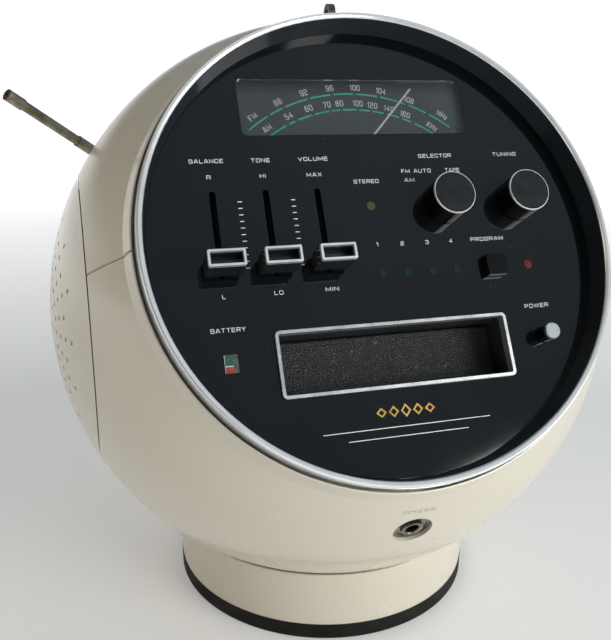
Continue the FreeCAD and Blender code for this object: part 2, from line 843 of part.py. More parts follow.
def slider_trim(number):
    place = number + 1
    start = "face_front + slider_rise - slider_frame_deep"
    end = "face_front + slider_rise"
    outer = rounded("frame_%d" % place, slider_across(number), "slider_rest", "slider_wide", "slider_tall",
                    0.7, start, end)
    inner = slider_block("frame_hole_%d" % place, number, "slider_frame", "slider_frame",
                         start + " - 1", end + " + 1")
    return cut("trim_%d" % place, outer, inner)


def slide_control(number):
    """Slide potentiometer body behind the face, with the slot that its arm runs in."""
    x = slider_across(number)
    length = "(slot_high - slot_low) / 2 + 6"
    middle = "(slot_high + slot_low) / 2"
    place = number + 1
    low = ("%s - control_wide / 2" % x, "%s - (%s)" % (middle, length), "chassis_front")
    high = ("%s + control_wide / 2" % x, "%s + (%s)" % (middle, length), "chassis_front + control_deep")
    case = block("control_%d" % place, low, high)
    groove = block("control_slot_%d" % place,
                   ("%s - slot_width / 2" % x, "slot_low", "chassis_front + 1.5"),
                   ("%s + slot_width / 2" % x, "slot_high", "chassis_front + control_deep + 1"))
    return cut("control_case_%d" % place, case, groove)


for number, word in zip((-1, 0, 1), ("balance", "tone", "volume")):
    keep(word + "_knob", on_face(slider_knob(number)))
    keep(word + "_knob_trim", on_face(slider_trim(number)))
keep("slide_controls", on_face(group("slide_controls", [slide_control(n) for n in (-1, 0, 1)])))


# ---------------------------------------------------------------- rotary knobs

def rotary(word, across):
    body = turned(word + "_turned", [
        (0, "knob_rise - 4"),
        ("shaft_radius", "knob_rise - 4"),
        ("shaft_radius", "knob_gap"),
        ("knob_foot_radius", "knob_gap"),
        ("knob_top_radius", "knob_rise - cap_band"),
        ("knob_top_radius - cap_seat_inset", "knob_rise - cap_band"),
        ("knob_top_radius - cap_seat_inset", "knob_rise - cap_deep"),
        (0, "knob_rise - cap_deep"),
    ])
    place = {"Placement.Base.x": across, "Placement.Base.y": "knob_up", "Placement.Base.z": "face_front"}
    bind(body, place)
    keep(word + "_knob", on_face(group(word + "_knob", [body])))
    cap = turned(word + "_disc", [
        (0, "knob_rise - cap_deep"),
        ("knob_top_radius - cap_seat_inset", "knob_rise - cap_deep"),
        ("knob_top_radius - cap_seat_inset", "knob_rise - cap_band"),
        ("knob_top_radius", "knob_rise - cap_band"),
        ("knob_top_radius", "knob_rise - 0.1"),
        ("knob_top_radius - 0.2", "knob_rise + 0.1"),
        ("knob_top_radius - 0.4", "knob_rise + 0.1"),
        ("knob_top_radius - 0.5", "knob_rise"),
        (0, "knob_rise"),
    ])
    bind(cap, place)
    keep(word + "_knob_cap", on_face(group(word + "_knob_cap", [cap])))
    shaft = rod(word + "_rod", "shaft_radius", "chassis_front + 3", "face_front + knob_rise - 4",
                across, "knob_up")
    keep(word + "_shaft", on_face(group(word + "_shaft", [shaft])))


rotary("selector", "selector_across")
rotary("tuning", "tuning_across")
switch = rod("switch_case", "switch_radius", "chassis_front", "chassis_front + switch_deep",
             "selector_across", "knob_up")
switch_bore = rod("switch_bore", "shaft_radius + pin_play", "chassis_front + 2.5", PLUNGE,
                  "selector_across", "knob_up")
keep("selector_switch", on_face(cut("selector_switch", switch, switch_bore)))
gang = block("gang_case", ("tuning_across - gang_side / 2", "knob_up - gang_side / 2", "chassis_front"),
             ("tuning_across + gang_side / 2", "knob_up + gang_side / 2", "chassis_front + switch_deep"))
gang_bore = rod("gang_bore", "shaft_radius + pin_play", "chassis_front + 2.5", PLUNGE,
                "tuning_across", "knob_up")
keep("tuning_capacitor", on_face(cut("tuning_capacitor", gang, gang_bore)))

# ---------------------------------------------------------------- buttons, lamps, meter

program = rounded("program", "program_across", "program_up", "program_side", "program_side", 0.6,
                  face_back + " - button_root", "face_front + program_rise")
keep("program_button", on_face(program))
power = rod("power_stem", "power_radius", face_back + " - button_root",
            "face_front + power_rise - power_cap_deep", "power_across", "power_up")
keep("power_button", on_face(group("power_button", [power])))
power_cap = turned("power_disc", [
    (0, "power_rise - power_cap_deep"),
    ("power_cap_radius", "power_rise - power_cap_deep"),
    ("power_cap_radius", "power_rise - 0.4"),
    ("power_cap_radius - 0.4", "power_rise"),
    (0, "power_rise"),
])
bind(power_cap, {"Placement.Base.x": "power_across", "Placement.Base.y": "power_up",
                 "Placement.Base.z": "face_front"})
keep("power_button_cap", on_face(group("power_button_cap", [power_cap])))

lamps = []
for number, (x, y) in enumerate(lamp_places()):
    lamp = rod("lamp_%d" % number, "lamp_radius - 0.05", face_back + " - 4", "face_front + lamp_rise", x, y)
    lamps.append(lamp)
keep("stereo_lamp", on_face(group("stereo_lamp", lamps[:1])))
keep("pilot_lamp", on_face(group("pilot_lamp", lamps[1:2])))
keep("program_lamps", on_face(group("program_lamps", lamps[2:])))

meter_glass = block("meter_glass",
                    ("meter_across - meter_wide / 2 + 0.1", "meter_up - meter_tall / 2 + 0.1",
                     face_back + " - 2"),
                    ("meter_across + meter_wide / 2 - 0.1", "meter_up + meter_tall / 2 - 0.1",
                     "face_front - 0.4"))
meter_low = ("meter_across - meter_wide / 2 - 2", "meter_up - meter_tall", face_back + " - meter_deep")
meter_high = ("meter_across + meter_wide / 2 + 2", "meter_up + meter_tall", face_back)
meter_case = block("meter_case", meter_low, meter_high)
keep("battery_meter", on_face(fuse("battery_meter", meter_glass, meter_case)))

# ---------------------------------------------------------------- cartridge slot

tape_low = "slot_up - tape_tall / 2"
tape_high = "slot_up + tape_tall / 2"
tape_left = "slot_across - tape_wide / 2"
tape_right = "slot_across + tape_wide / 2"
collar = rounded("trim_collar", "slot_across", "slot_up", "tape_wide + 2 * trim_border",
                 "tape_tall + 2 * trim_border", 2.2, "face_front", "face_front + trim_rise")
spigot = rounded("trim_spigot", "slot_across", "slot_up", trim_wide, trim_tall, 1.8,
                 face_back + " + 0.1", "face_front + 0.5")
tape_hole = rounded("trim_hole", "slot_across", "slot_up", "tape_wide", "tape_tall", 0.8,
                    face_back + " - 1", PLUNGE)
keep("cartridge_trim", on_face(cut("cartridge_trim", fuse("trim_solid", collar, spigot), tape_hole)))


def tape_block(name, grow, start, end):
    low = (tape_left + " - " + grow, tape_low + " - " + grow, start)
    high = (tape_right + " + " + grow, tape_high + " + " + grow, end)
    return block(name, low, high)


hinge_up = "slot_up + tape_tall / 2 - door_wall - door_play"
hinge_depth = "face_front - door_depth - door_wall / 2"
guide = fuse("guide_solid", tape_block("guide_tube", "guide_wall", "guide_back", face_back),
             tape_block("guide_flange", "guide_border", face_back + " - guide_wall", face_back))
guide_hole = tape_block("guide_hole", "0", "guide_back - 1", "face_front")
pin_holes = rod_x("guide_pin_holes", "door_pin + pin_play", tape_left + " - guide_wall - 1",
                  tape_right + " + guide_wall + 1", hinge_up, hinge_depth)
keep("cartridge_guide", on_face(cut("cartridge_guide", guide, guide_hole, pin_holes)))

flap_left = tape_left + " + door_play"
flap_right = tape_right + " - door_play"
flap = block("flap", (flap_left, tape_low + " + door_play", hinge_depth + " - door_wall / 2"),
             (flap_right, hinge_up, hinge_depth + " + door_wall / 2"))
barrel = rod_x("flap_barrel", "door_wall - 0.1", flap_left, flap_right, hinge_up, hinge_depth)
pins = rod_x("flap_pins", "door_pin", tape_left + " - guide_wall + 0.1", tape_right + " + guide_wall - 0.1",
             hinge_up, hinge_depth)
keep("cartridge_door", on_face(fuse("cartridge_door", flap, barrel, pins)))

# ---------------------------------------------------------------- pedestal

ball_seat = "(ball_radius + seat_play)"
rim_inner = "pedestal_top_radius - 1.6"
seat_outer = "foot_radius - 2 * pedestal_wall"
screw_seat = seat_height("pedestal_screw_circle", "ball_radius") + " - 7.5"
rim_height = seat_height("pedestal_top_radius", "ball_radius") + " - pedestal_gap"
cup = turned("pedestal_cup", [
    ("foot_radius - 0.3", "foot_height"),
    ("pedestal_top_radius", rim_height + " - 0.4"),
    ("pedestal_top_radius - 0.4", rim_height),
    (rim_inner, seat_height(rim_inner, "ball_radius") + " - pedestal_gap"),
    (rim_inner + " - pedestal_wall", seat_height(rim_inner + " - pedestal_wall", INNER)),
    ("seat_inner", seat_height("seat_inner", "ball_radius - 2 * ball_wall")),
    ("seat_inner", seat_height("seat_inner", "ball_radius") + " - seat_thick"),
    (seat_outer, seat_height(seat_outer, "ball_radius") + " - 2 * seat_thick"),
    ("foot_radius - 0.3 - pedestal_wall", "foot_height"),
])
seat_ball = at_centre(ball("seat_ball", ball_seat))
pads = [cup]
screw_holes = []
for number, (x, y) in enumerate(screw_points()):
    pads.append(rod("seat_pad_%d" % number, "screw_head + 1.5", screw_seat, screw_seat + " + 5", x, y))
    screw_holes.append(rod("seat_hole_%d" % number, "screw_radius + 0.3", 0, "ball_height / 2", x, y))
keep("pedestal", cut("pedestal", fuse("pedestal_solid", *pads), seat_ball, group("seat_holes", screw_holes)))

foot = turned("foot", [
    (0, 0),
    ("foot_radius - foot_edge", 0),
    ("foot_radius", "foot_edge"),
    ("foot_radius", "foot_height"),
    ("foot_radius - foot_lip", "foot_height"),
    ("foot_radius - foot_lip", "foot_floor"),
    (0, "foot_floor"),
])
keep("rubber_foot", foot)
bottom = rod("bottom_disc", "foot_radius - foot_lip - 0.2", "foot_floor", "foot_floor + plate_wall")
keep("base_plate", bottom)

screws = []
for number, (x, y) in enumerate(screw_points()):
    head = rod("screw_head_%d" % number, "screw_head", screw_seat + " - screw_head_deep", screw_seat, x, y)
    shank = rod("screw_shank_%d" % number, "screw_radius - 0.05", screw_seat + " - 1",
                boss_top + " - 3", x, y)
    screws.append(fuse("screw_%d" % number, head, shank))
keep("pedestal_screws", group("pedestal_screws", screws))

# ---------------------------------------------------------------- small fittings on the ball

jack_collar_top = "-ball_wall - jack_collar_gap"
jack_body = turned("jack_body", [
    ("jack_bore", "-jack_deep - 2"),
    ("jack_barrel", "-jack_deep - 2"),
    ("jack_barrel", jack_collar_top + " - jack_collar_deep"),
    ("jack_collar", jack_collar_top + " - jack_collar_deep"),
    ("jack_collar", jack_collar_top),
    ("jack_hole - fit_play", jack_collar_top),
    ("jack_hole - fit_play", "-jack_sunk"),
    ("jack_hole - 1.8", "-jack_sunk"),
    ("jack_hole - 2", "-jack_sunk - 0.5"),
    ("jack_bore + 2", "-jack_sunk - 0.6"),
    ("jack_bore + 1.8", -0.6),
    ("jack_bore + 0.4", -0.5),
    ("jack_bore", -1),
])
jack = group("headphone_jack", [jack_body])
jack.Placement = radial(180, -size("jack_down"), size("ball_radius"))
keep("headphone_jack", jack)

eye_top = "ball_radius + eye_rise"
eye_middle = "ball_radius + eye_rise - eye_deep / 2"
eye_round = rod_x("eye_round", "eye_deep / 2", "-eye_wide / 2", "eye_wide / 2", 0, eye_middle)
eye_stem = block("eye_stem", ("-eye_wide / 2", "-eye_deep / 2", "ball_radius - ball_wall - 4"),
                 ("eye_wide / 2", "eye_deep / 2", eye_middle))
eye_foot = block("eye_foot", ("-eye_wide * 2", "-eye_deep", "ball_radius - ball_wall - 4"),
                 ("eye_wide * 2", "eye_deep", "ball_radius - ball_wall - 0.6"))
eye_bore = rod_x("eye_bore", "eye_hole", "-eye_wide", "eye_wide", 0, eye_middle)
keep("hanging_eye", at_centre(cut("hanging_eye", fuse("eye_solid", eye_round, eye_stem, eye_foot), eye_bore)))


# ---------------------------------------------------------------- antenna

mast = radial(size("antenna_turn"), size("antenna_up"), size("ball_radius"))


def on_mast(thing):
    thing.Placement = mast
    return thing


def along_tube(thing):
    """Place a piece drawn along x from the antenna's hinge."""
    lean = Placement(Vector(), Rotation(Vector(0, 0, 1), -90 - size("antenna_lean")))
    rise = Placement(Vector(0, 0, size("hinge_rise")), Rotation())
    dip = Placement(Vector(), Rotation(Vector(0, 1, 0), size("antenna_dip")))
    thing.Placement = mast.multiply(lean).multiply(rise).multiply(dip)
    return thing


def across_lean(thing):
    """Place a piece of the swivelling fork, drawn with its hinge along y."""
    lean = Placement(Vector(), Rotation(Vector(0, 0, 1), -90 - size("antenna_lean")))
    thing.Placement = mast.multiply(lean)
    return thing


socket = turned("mast_socket", [
    ("stem_radius + 0.08", "-stem_deep - 2"),
    ("stem_radius + socket_skin", "-stem_deep - 2"),
    ("stem_radius + socket_skin", 0.1),
    ("stem_radius + 4.5", 0.1),
    ("stem_radius + 4.5", 1.6),
    ("stem_radius + 3.7", 2.4),
    ("stem_radius + 0.08", 2.4),
])
keep("antenna_base", on_mast(group("antenna_base", [socket])))

ear_gap = "lug_wall / 2 + 0.15"
stem = rod("knuckle_stem", "stem_radius", "-stem_deep", 3)
collar_disc = rod("knuckle_collar", "stem_radius + 2.5", 2.7, 5)
ears = []
for side in (-1, 1):
    near = "%s" % ear_gap
    far = "%s + ear_wall" % ear_gap
    a, b = (near, far) if side > 0 else ("-(%s)" % far, "-(%s)" % near)
    ears.append(rod_y("ear_round_%d" % (side + 1), "ear_radius", a, b, 0, "hinge_rise"))
    ears.append(block("ear_web_%d" % (side + 1), ("-ear_radius", a, 4), ("ear_radius", b, "hinge_rise")))
pin_end = "%s + ear_wall" % ear_gap
pin = rod_y("knuckle_pin", "hinge_pin", "-(%s)" % pin_end, pin_end, 0, "hinge_rise")
knuckle = fuse("antenna_knuckle", stem, collar_disc, pin, *ears)
keep("antenna_knuckle", across_lean(group("antenna_knuckle", [knuckle])))

lug = rod_y("tube_lug", "ear_radius - 0.3", "-lug_wall / 2", "lug_wall / 2")
lug_neck = block("tube_neck", (0, "-lug_wall / 2", "-2.4"), ("tube_start + 2", "lug_wall / 2", 2.4))
tube = rod_x("tube_out", "tube_outer", "tube_start", "outer_end")
tube_bore = rod_x("tube_bore", "tube_outer - tube_skin", "tube_start + 3", "outer_end + 1")
lug_hole = rod_y("tube_lug_hole", "hinge_pin + 0.06", "-lug_wall", "lug_wall")
outer_tube = cut("outer_tube", fuse("outer_solid", lug, lug_neck, tube), tube_bore, lug_hole)
keep("antenna_outer_tube", along_tube(outer_tube))

middle_radius = "(tube_outer - tube_skin - tube_play)"
rod_radius = "(tube_outer - 2 * tube_skin - 2 * tube_play)"
middle = rod_x("middle_out", middle_radius, "middle_hidden", "middle_end")
middle_bore = rod_x("middle_bore", middle_radius + " - tube_skin", "middle_hidden + 2", "middle_end + 1")
keep("antenna_middle_tube", along_tube(cut("middle_tube", middle, middle_bore)))

inner_rod = rod_x("inner_out", rod_radius, "inner_hidden", "middle_end + 1")
tip = rod_x("tip_body", "tip_radius", "middle_end + 0.3", "tip_end")
tip_hole = rod_x("tip_hole", "tip_radius / 3", "tip_end - 3", "tip_end + 1")
keep("antenna_inner_rod", along_tube(cut("inner_rod", fuse("inner_solid", inner_rod, tip), tip_hole)))

# ---------------------------------------------------------------- chassis and board

chassis_back = "chassis_front - chassis_wall"
chassis = block("chassis", ("-" + chassis_half, "chassis_low", chassis_back),
                (chassis_half, "chassis_high", "chassis_front"))
needle_hole = rod("needle_hole", "needle_shaft + pin_play", chassis_back + " - 1", PLUNGE,
                  "pivot_across", "pivot_up")
bearing = rod("needle_bearing", "needle_shaft + 3", chassis_back, "chassis_front + 1.6",
              "pivot_across", "pivot_up")
tongue = block("chassis_tongue", ("pivot_across - needle_pulley", "chassis_high - 6", chassis_back),
               ("pivot_across + needle_pulley", "pivot_up + needle_pulley - 2", "chassis_front"))
chassis_solid = fuse("chassis_solid", chassis, bearing, tongue)
keep("chassis_plate", on_face(cut("chassis_plate", chassis_solid, needle_hole)))

board_back = "board_front - board_wall"
board_solids = [block("board", ("board_left", "board_low", board_back),
                      ("board_right", "board_high", "board_front"))]
for number, (x, y) in enumerate([(a, b) for a in ("board_left + 6", "board_right - 6")
                                 for b in ("board_low + 5", "board_high - 5")]):
    board_solids.append(rod("standoff_%d" % number, 3, "board_front", chassis_back, x, y))
parts_on_board = [
    # place across and up, width, height, depth
    (20, 16, 12, 10, 12),
    (44, 36, 14, 8, 8),
    (72, 18, 9, 9, 14),
    (102, 34, 20, 12, 6),
]
for number, (across, up, wide, tall, deep) in enumerate(parts_on_board):
    x = "board_left + (board_right - board_left) * %d / 140" % across
    y = "board_low + (board_high - board_low) * %d / 58" % up
    low = (x, y, "%s - %d" % (board_back, deep))
    high = ("%s + %d" % (x, wide), "%s + %d" % (y, tall), board_back)
    board_solids.append(block("part_on_board_%d" % number, low, high))
keep("circuit_board", on_face(fuse("circuit_board", *board_solids)))

# ---------------------------------------------------------------- tape deck

deck_top = tape_low + " - guide_wall"
deck_under = deck_top + " - deck_wall"
deck_front = face_back + " - guide_wall"
deck_half = "(tape_wide / 2 + deck_side)"
tongue_half = "(%s - 25)" % deck_half
deck = block("deck", ("-" + deck_half, deck_under, "guide_back - deck_tail"),
             (deck_half, deck_top, "flange_front - 2 * flange_wall"))
deck_tongue = block("deck_tongue", ("-" + tongue_half, deck_under, "guide_back"),
                    (tongue_half, deck_top, deck_front))
deck_flange = block("deck_flange", ("-" + tongue_half, deck_top + " - 14", deck_front + " - deck_wall"),
                    (tongue_half, deck_under + " + 0.5", deck_front))
deck_bore = rod_y("deck_bore", "capstan_radius + pin_play", deck_under + " - 1", deck_top + " + 1",
                  "capstan_across", "capstan_depth")
motor_bore = rod_y("motor_bore", 4, deck_under + " - 1", deck_top + " + 1", "motor_across", "motor_depth")
deck_solid = fuse("deck_solid", deck, deck_tongue, deck_flange)
keep("deck_frame", on_face(cut("deck_frame", deck_solid, deck_bore, motor_bore)))

fly_top = deck_under + " - 1.5"
fly_bottom = deck_under + " - 1.5 - flywheel_thick"
flywheel = rod_y("flywheel", "flywheel_radius", fly_bottom, fly_top, "capstan_across", "capstan_depth")
capstan = rod_y("capstan", "capstan_radius", fly_bottom, deck_top + " + 22",
                "capstan_across", "capstan_depth")
keep("capstan_flywheel", on_face(fuse("capstan_flywheel", flywheel, capstan)))

motor = rod_y("motor_can", "motor_radius", deck_top, deck_top + " + motor_height",
              "motor_across", "motor_depth")
shaft_hole = rod_y("motor_shaft_hole", "1 + pin_play", deck_top + " - 1", deck_top + " + 20",
                   "motor_across", "motor_depth")
keep("drive_motor", on_face(cut("drive_motor", motor, shaft_hole)))
pulley_top = deck_under + " - 3"
pulley_low = pulley_top + " - belt_height - 2"
wheel = rod_y("pulley_wheel", "pulley_radius", pulley_low, pulley_top, "motor_across", "motor_depth")
spindle = rod_y("pulley_spindle", 1, pulley_top, deck_top + " + 18", "motor_across", "motor_depth")
keep("motor_pulley", on_face(fuse("motor_pulley", wheel, spindle)))


def belt_loop(name, grow, low, high):
    """Solid bounded by the two wheels and the tangents between them."""
    x1 = size("capstan_across")
    z1 = face_depth() - size("guide_length") - size("capstan_behind")
    x2 = size("motor_across")
    z2 = face_depth() - size("guide_length") - size("motor_behind")
    r1 = size("flywheel_radius") + grow
    r2 = size("pulley_radius") + grow
    span = math.hypot(x2 - x1, z2 - z1)
    heading = math.atan2(z2 - z1, x2 - x1)
    open_angle = math.acos((r1 - r2) / span)
    corners = []
    for turn, cx, cz, r in ((heading + open_angle, x1, z1, r1), (heading + open_angle, x2, z2, r2),
                            (heading - open_angle, x2, z2, r2), (heading - open_angle, x1, z1, r1)):
        corners.append(Vector(cx + r * math.cos(turn), low, cz + r * math.sin(turn)))
    web = Part.Face(Part.makePolygon(corners + corners[:1])).extrude(Vector(0, high - low, 0))
    big = Part.makeCylinder(r1, high - low, Vector(x1, low, z1), Vector(0, 1, 0))
    small = Part.makeCylinder(r2, high - low, Vector(x2, low, z2), Vector(0, 1, 0))
    return web.fuse([big, small]).removeSplitter()


belt_top = size("slot_up") - size("tape_tall") / 2 - size("guide_wall") - size("deck_wall") - 4
belt_low = belt_top - size("belt_height")
belt = doc.addObject("Part::Feature", "belt")
belt.Shape = belt_loop("belt_out", size("belt_play") + size("belt_wall"), belt_low, belt_top).cut(
    belt_loop("belt_in", size("belt_play"), belt_low - 1, belt_top + 1))
keep("drive_belt", on_face(belt))

head_back = "guide_back - 2"
head = block("head_block", (-14, deck_top, head_back + " - 9"), (-2, deck_top + " + 20", head_back))
keep("playback_head", on_face(group("playback_head", [head])))

# ---------------------------------------------------------------- power

def core_block(name, side, end, low, high):
    """Box about the middle of the transformer, drawn in from its sides and ends."""
    start = ("-core_wide / 2 + (%s)" % side, "core_back - core_deep / 2 + (%s)" % end,
             "ball_height + core_low + " + low)
    stop = ("core_wide / 2 - (%s)" % side, "core_back + core_deep / 2 - (%s)" % end,
            "ball_height + core_low + " + high)
    return block(name, start, stop)


core = core_block("transformer_core", "0", "0", "0", "core_tall")
coil = core_block("transformer_coil", "10", "-5", "6", "core_tall - 6")
keep("power_transformer", fuse("power_transformer", core, coil))

tray_low = ("-door_half - tray_wall", "tray_back - tray_wall", "ball_height + door_low - tray_wall")
tray_high = ("door_half + tray_wall", FAR, "ball_height + door_high + tray_wall")
tray_solid = common("tray_solid", block("tray_block", tray_low, tray_high),
                    at_centre(ball("tray_ball", INNER + " - 0.1")))
keep("battery_tray", cut("battery_tray", tray_solid, battery_opening("tray_cut", "0")))

cover_skin = at_centre(cut("cover_skin", ball("cover_out", "ball_radius"), ball("cover_in", INNER)))
keep("battery_door", common("battery_door", cover_skin, battery_opening("cover_block", "cover_play")))

socket_case = common("socket_case", socket_block("socket_outer", "0.2", "socket_back - socket_wall"),
                     at_centre(ball("socket_ball", "ball_radius - 0.4")))
socket_room = socket_block("socket_room", "socket_wall + 0.2", "socket_back")
inlet_pins = []
for number, side in enumerate((-1, 1)):
    inlet_pins.append(rod_y("inlet_pin_%d" % number, 1.2, "socket_back - 9", "socket_back - 1",
                            "inlet_across + %d" % (4 * side), "ball_height + socket_middle"))


def inlet_block(name, wide, tall, start, stop):
    """Box about the middle of the mains inlet, half as wide and half as tall as given."""
    low = ("inlet_across - " + wide, start, "ball_height + socket_middle - " + tall)
    high = ("inlet_across + " + wide, stop, "ball_height + socket_middle + " + tall)
    return block(name, low, high)


case_face = "socket_back - socket_wall + 0.5"
inlet_case = inlet_block("inlet_case", "10", "6.5", "socket_back - 10", case_face)
inlet_room = inlet_block("inlet_room", "8", "4.5", "socket_back - 8", "socket_back + 1")
jack_height = "ball_height + socket_middle"
low_voltage = rod_y("low_voltage_hole", 2.8, "socket_back - 6", "socket_back + 20",
                    "jack_across", jack_height)
low_voltage_case = rod_y("low_voltage_case", 5, "socket_back - 10", case_face, "jack_across", jack_height)
panel = cut("panel_open", socket_case, socket_room)
panel = fuse("panel_solid", panel, inlet_case, low_voltage_case)
panel = cut("panel_drilled", panel, inlet_room, low_voltage)
keep("rear_socket_panel", fuse("rear_socket_panel", panel, *inlet_pins))

# ---------------------------------------------------------------- check and write

doc.recompute()
for thing in doc.Objects:
    for word in ("Invalid", "Error"):
        if word in thing.State:
            raise RuntimeError("%s (%s) is %s" % (thing.Name, thing.Label, thing.State))
for label, thing in nodes.items():
    if thing.Shape.isNull() or not thing.Shape.isValid():
        raise RuntimeError("%s has no valid shape" % label)

os.makedirs("parts", exist_ok=True)
for label, thing in nodes.items():
    thing.Shape.exportStep("parts/%s.step" % label)
print("wrote %d parts" % len(nodes))
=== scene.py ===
import math
import bmesh
import bpy
from mathutils import Matrix, Vector


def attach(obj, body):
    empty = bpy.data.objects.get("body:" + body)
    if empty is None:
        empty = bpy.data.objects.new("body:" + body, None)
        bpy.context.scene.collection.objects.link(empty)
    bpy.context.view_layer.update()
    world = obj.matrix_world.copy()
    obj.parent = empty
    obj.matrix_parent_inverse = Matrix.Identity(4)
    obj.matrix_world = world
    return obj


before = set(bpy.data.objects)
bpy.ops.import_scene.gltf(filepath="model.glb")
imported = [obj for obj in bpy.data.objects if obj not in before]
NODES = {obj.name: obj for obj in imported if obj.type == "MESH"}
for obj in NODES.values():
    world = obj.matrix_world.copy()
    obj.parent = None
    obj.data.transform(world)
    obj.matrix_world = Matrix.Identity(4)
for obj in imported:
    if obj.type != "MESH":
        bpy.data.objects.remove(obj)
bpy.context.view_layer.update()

MM = 0.001
CENTRE = Vector((0, 0, 0.161))
BALL_RADIUS = 148
FACE_TILT = math.radians(59)

# control face: x to the right, y up the face, z out of it, in mm from the ball's centre
FACE = Matrix.Translation(CENTRE) @ Matrix.Rotation(FACE_TILT, 4, "X") @ Matrix.Scale(MM, 4)
FACE_FRONT = 96.4
SCALE_FRONT = 92.3
KNOBS = (("selector", 33.2), ("tuner", 71.3))
KNOB_UP = 17.05
KNOB_RISE = 13.2
DISC_RADIUS = 9.8
DISC_THICK = 0.12

# printing: thin strokes that start a little under the surface, in mm
PRINT_THICK = 0.05
PRINT_SINK = 0.02
FACE_PRINT = FACE_FRONT - PRINT_SINK
SCALE_PRINT = SCALE_FRONT - PRINT_SINK
SAME_POINT = 1e-6
NO_LENGTH = 1e-9
CORNER_STEPS = 4


# ------------------------------------------------------------------ materials

def grade(tree, source, low, high, start=0.35, end=0.65):
    """Maps a 0 to 1 value onto a range of numbers."""
    node = tree.nodes.new("ShaderNodeMapRange")
    node.inputs["From Min"].default_value = start
    node.inputs["From Max"].default_value = end
    node.inputs["To Min"].default_value = low
    node.inputs["To Max"].default_value = high
    tree.links.new(source, node.inputs["Value"])
    return node.outputs["Result"]


def noise(tree, scale, detail=4, stretch=(1, 1, 1)):
    """Cloudy value from 0 to 1 over the piece, finer as the scale grows."""
    place = tree.nodes.new("ShaderNodeTexCoord")
    mapping = tree.nodes.new("ShaderNodeMapping")
    mapping.inputs["Scale"].default_value = stretch
    tree.links.new(place.outputs["Object"], mapping.inputs["Vector"])
    node = tree.nodes.new("ShaderNodeTexNoise")
    node.inputs["Scale"].default_value = scale
    node.inputs["Detail"].default_value = detail
    tree.links.new(mapping.outputs["Vector"], node.inputs["Vector"])
    return node.outputs["Fac"]


def two_tone(tree, factor, first, second, start=0.4, end=0.6):
    """Runs from one colour to another as the factor goes from start to end."""
    ramp = tree.nodes.new("ShaderNodeValToRGB")
    ramp.color_ramp.elements[0].position = start
    ramp.color_ramp.elements[0].color = (*first, 1)
    ramp.color_ramp.elements[1].position = end
    ramp.color_ramp.elements[1].color = (*second, 1)
    tree.links.new(factor, ramp.inputs["Fac"])
    return ramp.outputs["Color"]


def bump(tree, height, strength, distance):
    """Relief of a height value, with its depth in metres."""
    node = tree.nodes.new("ShaderNodeBump")
    node.inputs["Strength"].default_value = strength
    node.inputs["Distance"].default_value = distance
    tree.links.new(height, node.inputs["Height"])
    return node.outputs["Normal"]


def finish(name, first, second, rough=(0.3, 0.4), scale=30, tone=(0.4, 0.6), grain=400, relief=0.02,
           metallic=0.0, coat=0.0, stretch=(1, 1, 1), specular=0.5):
    """Two shades of one colour, uneven gloss and a fine relief."""
    material = bpy.data.materials.new(name)
    material.use_nodes = True
    tree = material.node_tree
    shader = tree.nodes["Principled BSDF"]
    shader.inputs["Metallic"].default_value = metallic
    shader.inputs["Coat Weight"].default_value = coat
    shader.inputs["Coat Roughness"].default_value = 0.08
    shader.inputs["Specular IOR Level"].default_value = specular
    tree.links.new(two_tone(tree, noise(tree, scale, 5), first, second, *tone), shader.inputs["Base Color"])
    tree.links.new(grade(tree, noise(tree, scale * 2.3, 6, stretch), *rough), shader.inputs["Roughness"])
    tree.links.new(bump(tree, noise(tree, grain, 3, stretch), relief, 0.001), shader.inputs["Normal"])
    return material


def dusted(material, scale=150, size=0.035, shade=(0.16, 0.17, 0.17)):
    """Adds sparse specks of another shade to a material's colour."""
    tree = material.node_tree
    colour = tree.nodes["Principled BSDF"].inputs["Base Color"]
    place = tree.nodes.new("ShaderNodeTexCoord")
    cells = tree.nodes.new("ShaderNodeTexVoronoi")
    cells.inputs["Scale"].default_value = scale
    tree.links.new(place.outputs["Object"], cells.inputs["Vector"])
    speck = grade(tree, cells.outputs["Distance"], 1, 0, size * 0.6, size)
    chance = grade(tree, noise(tree, scale * 0.9, 0), 0, 1, 0.50, 0.56)
    both = tree.nodes.new("ShaderNodeMath")
    both.operation = "MULTIPLY"
    tree.links.new(speck, both.inputs[0])
    tree.links.new(chance, both.inputs[1])
    mix = tree.nodes.new("ShaderNodeMixRGB")
    mix.inputs["Color2"].default_value = (*shade, 1)
    tree.links.new(both.outputs["Value"], mix.inputs["Fac"])
    tree.links.new(colour.links[0].from_socket, mix.inputs["Color1"])
    tree.links.new(mix.outputs["Color"], colour)
    return material


def leather(name, colour, crease):
    """Pebbled grain in black plastic."""
    material = bpy.data.materials.new(name)
    material.use_nodes = True
    tree = material.node_tree
    shader = tree.nodes["Principled BSDF"]
    place = tree.nodes.new("ShaderNodeTexCoord")
    cells = tree.nodes.new("ShaderNodeTexVoronoi")
    cells.feature = "DISTANCE_TO_EDGE"
    cells.inputs["Scale"].default_value = 900
    tree.links.new(place.outputs["Object"], cells.inputs["Vector"])
    height = grade(tree, cells.outputs["Distance"], 0, 1, 0, 0.25)
    tree.links.new(two_tone(tree, height, crease, colour, 0.1, 0.6), shader.inputs["Base Color"])
    tree.links.new(grade(tree, noise(tree, 120), 0.45, 0.62), shader.inputs["Roughness"])
    tree.links.new(bump(tree, height, 0.7, 0.0004), shader.inputs["Normal"])
    return material


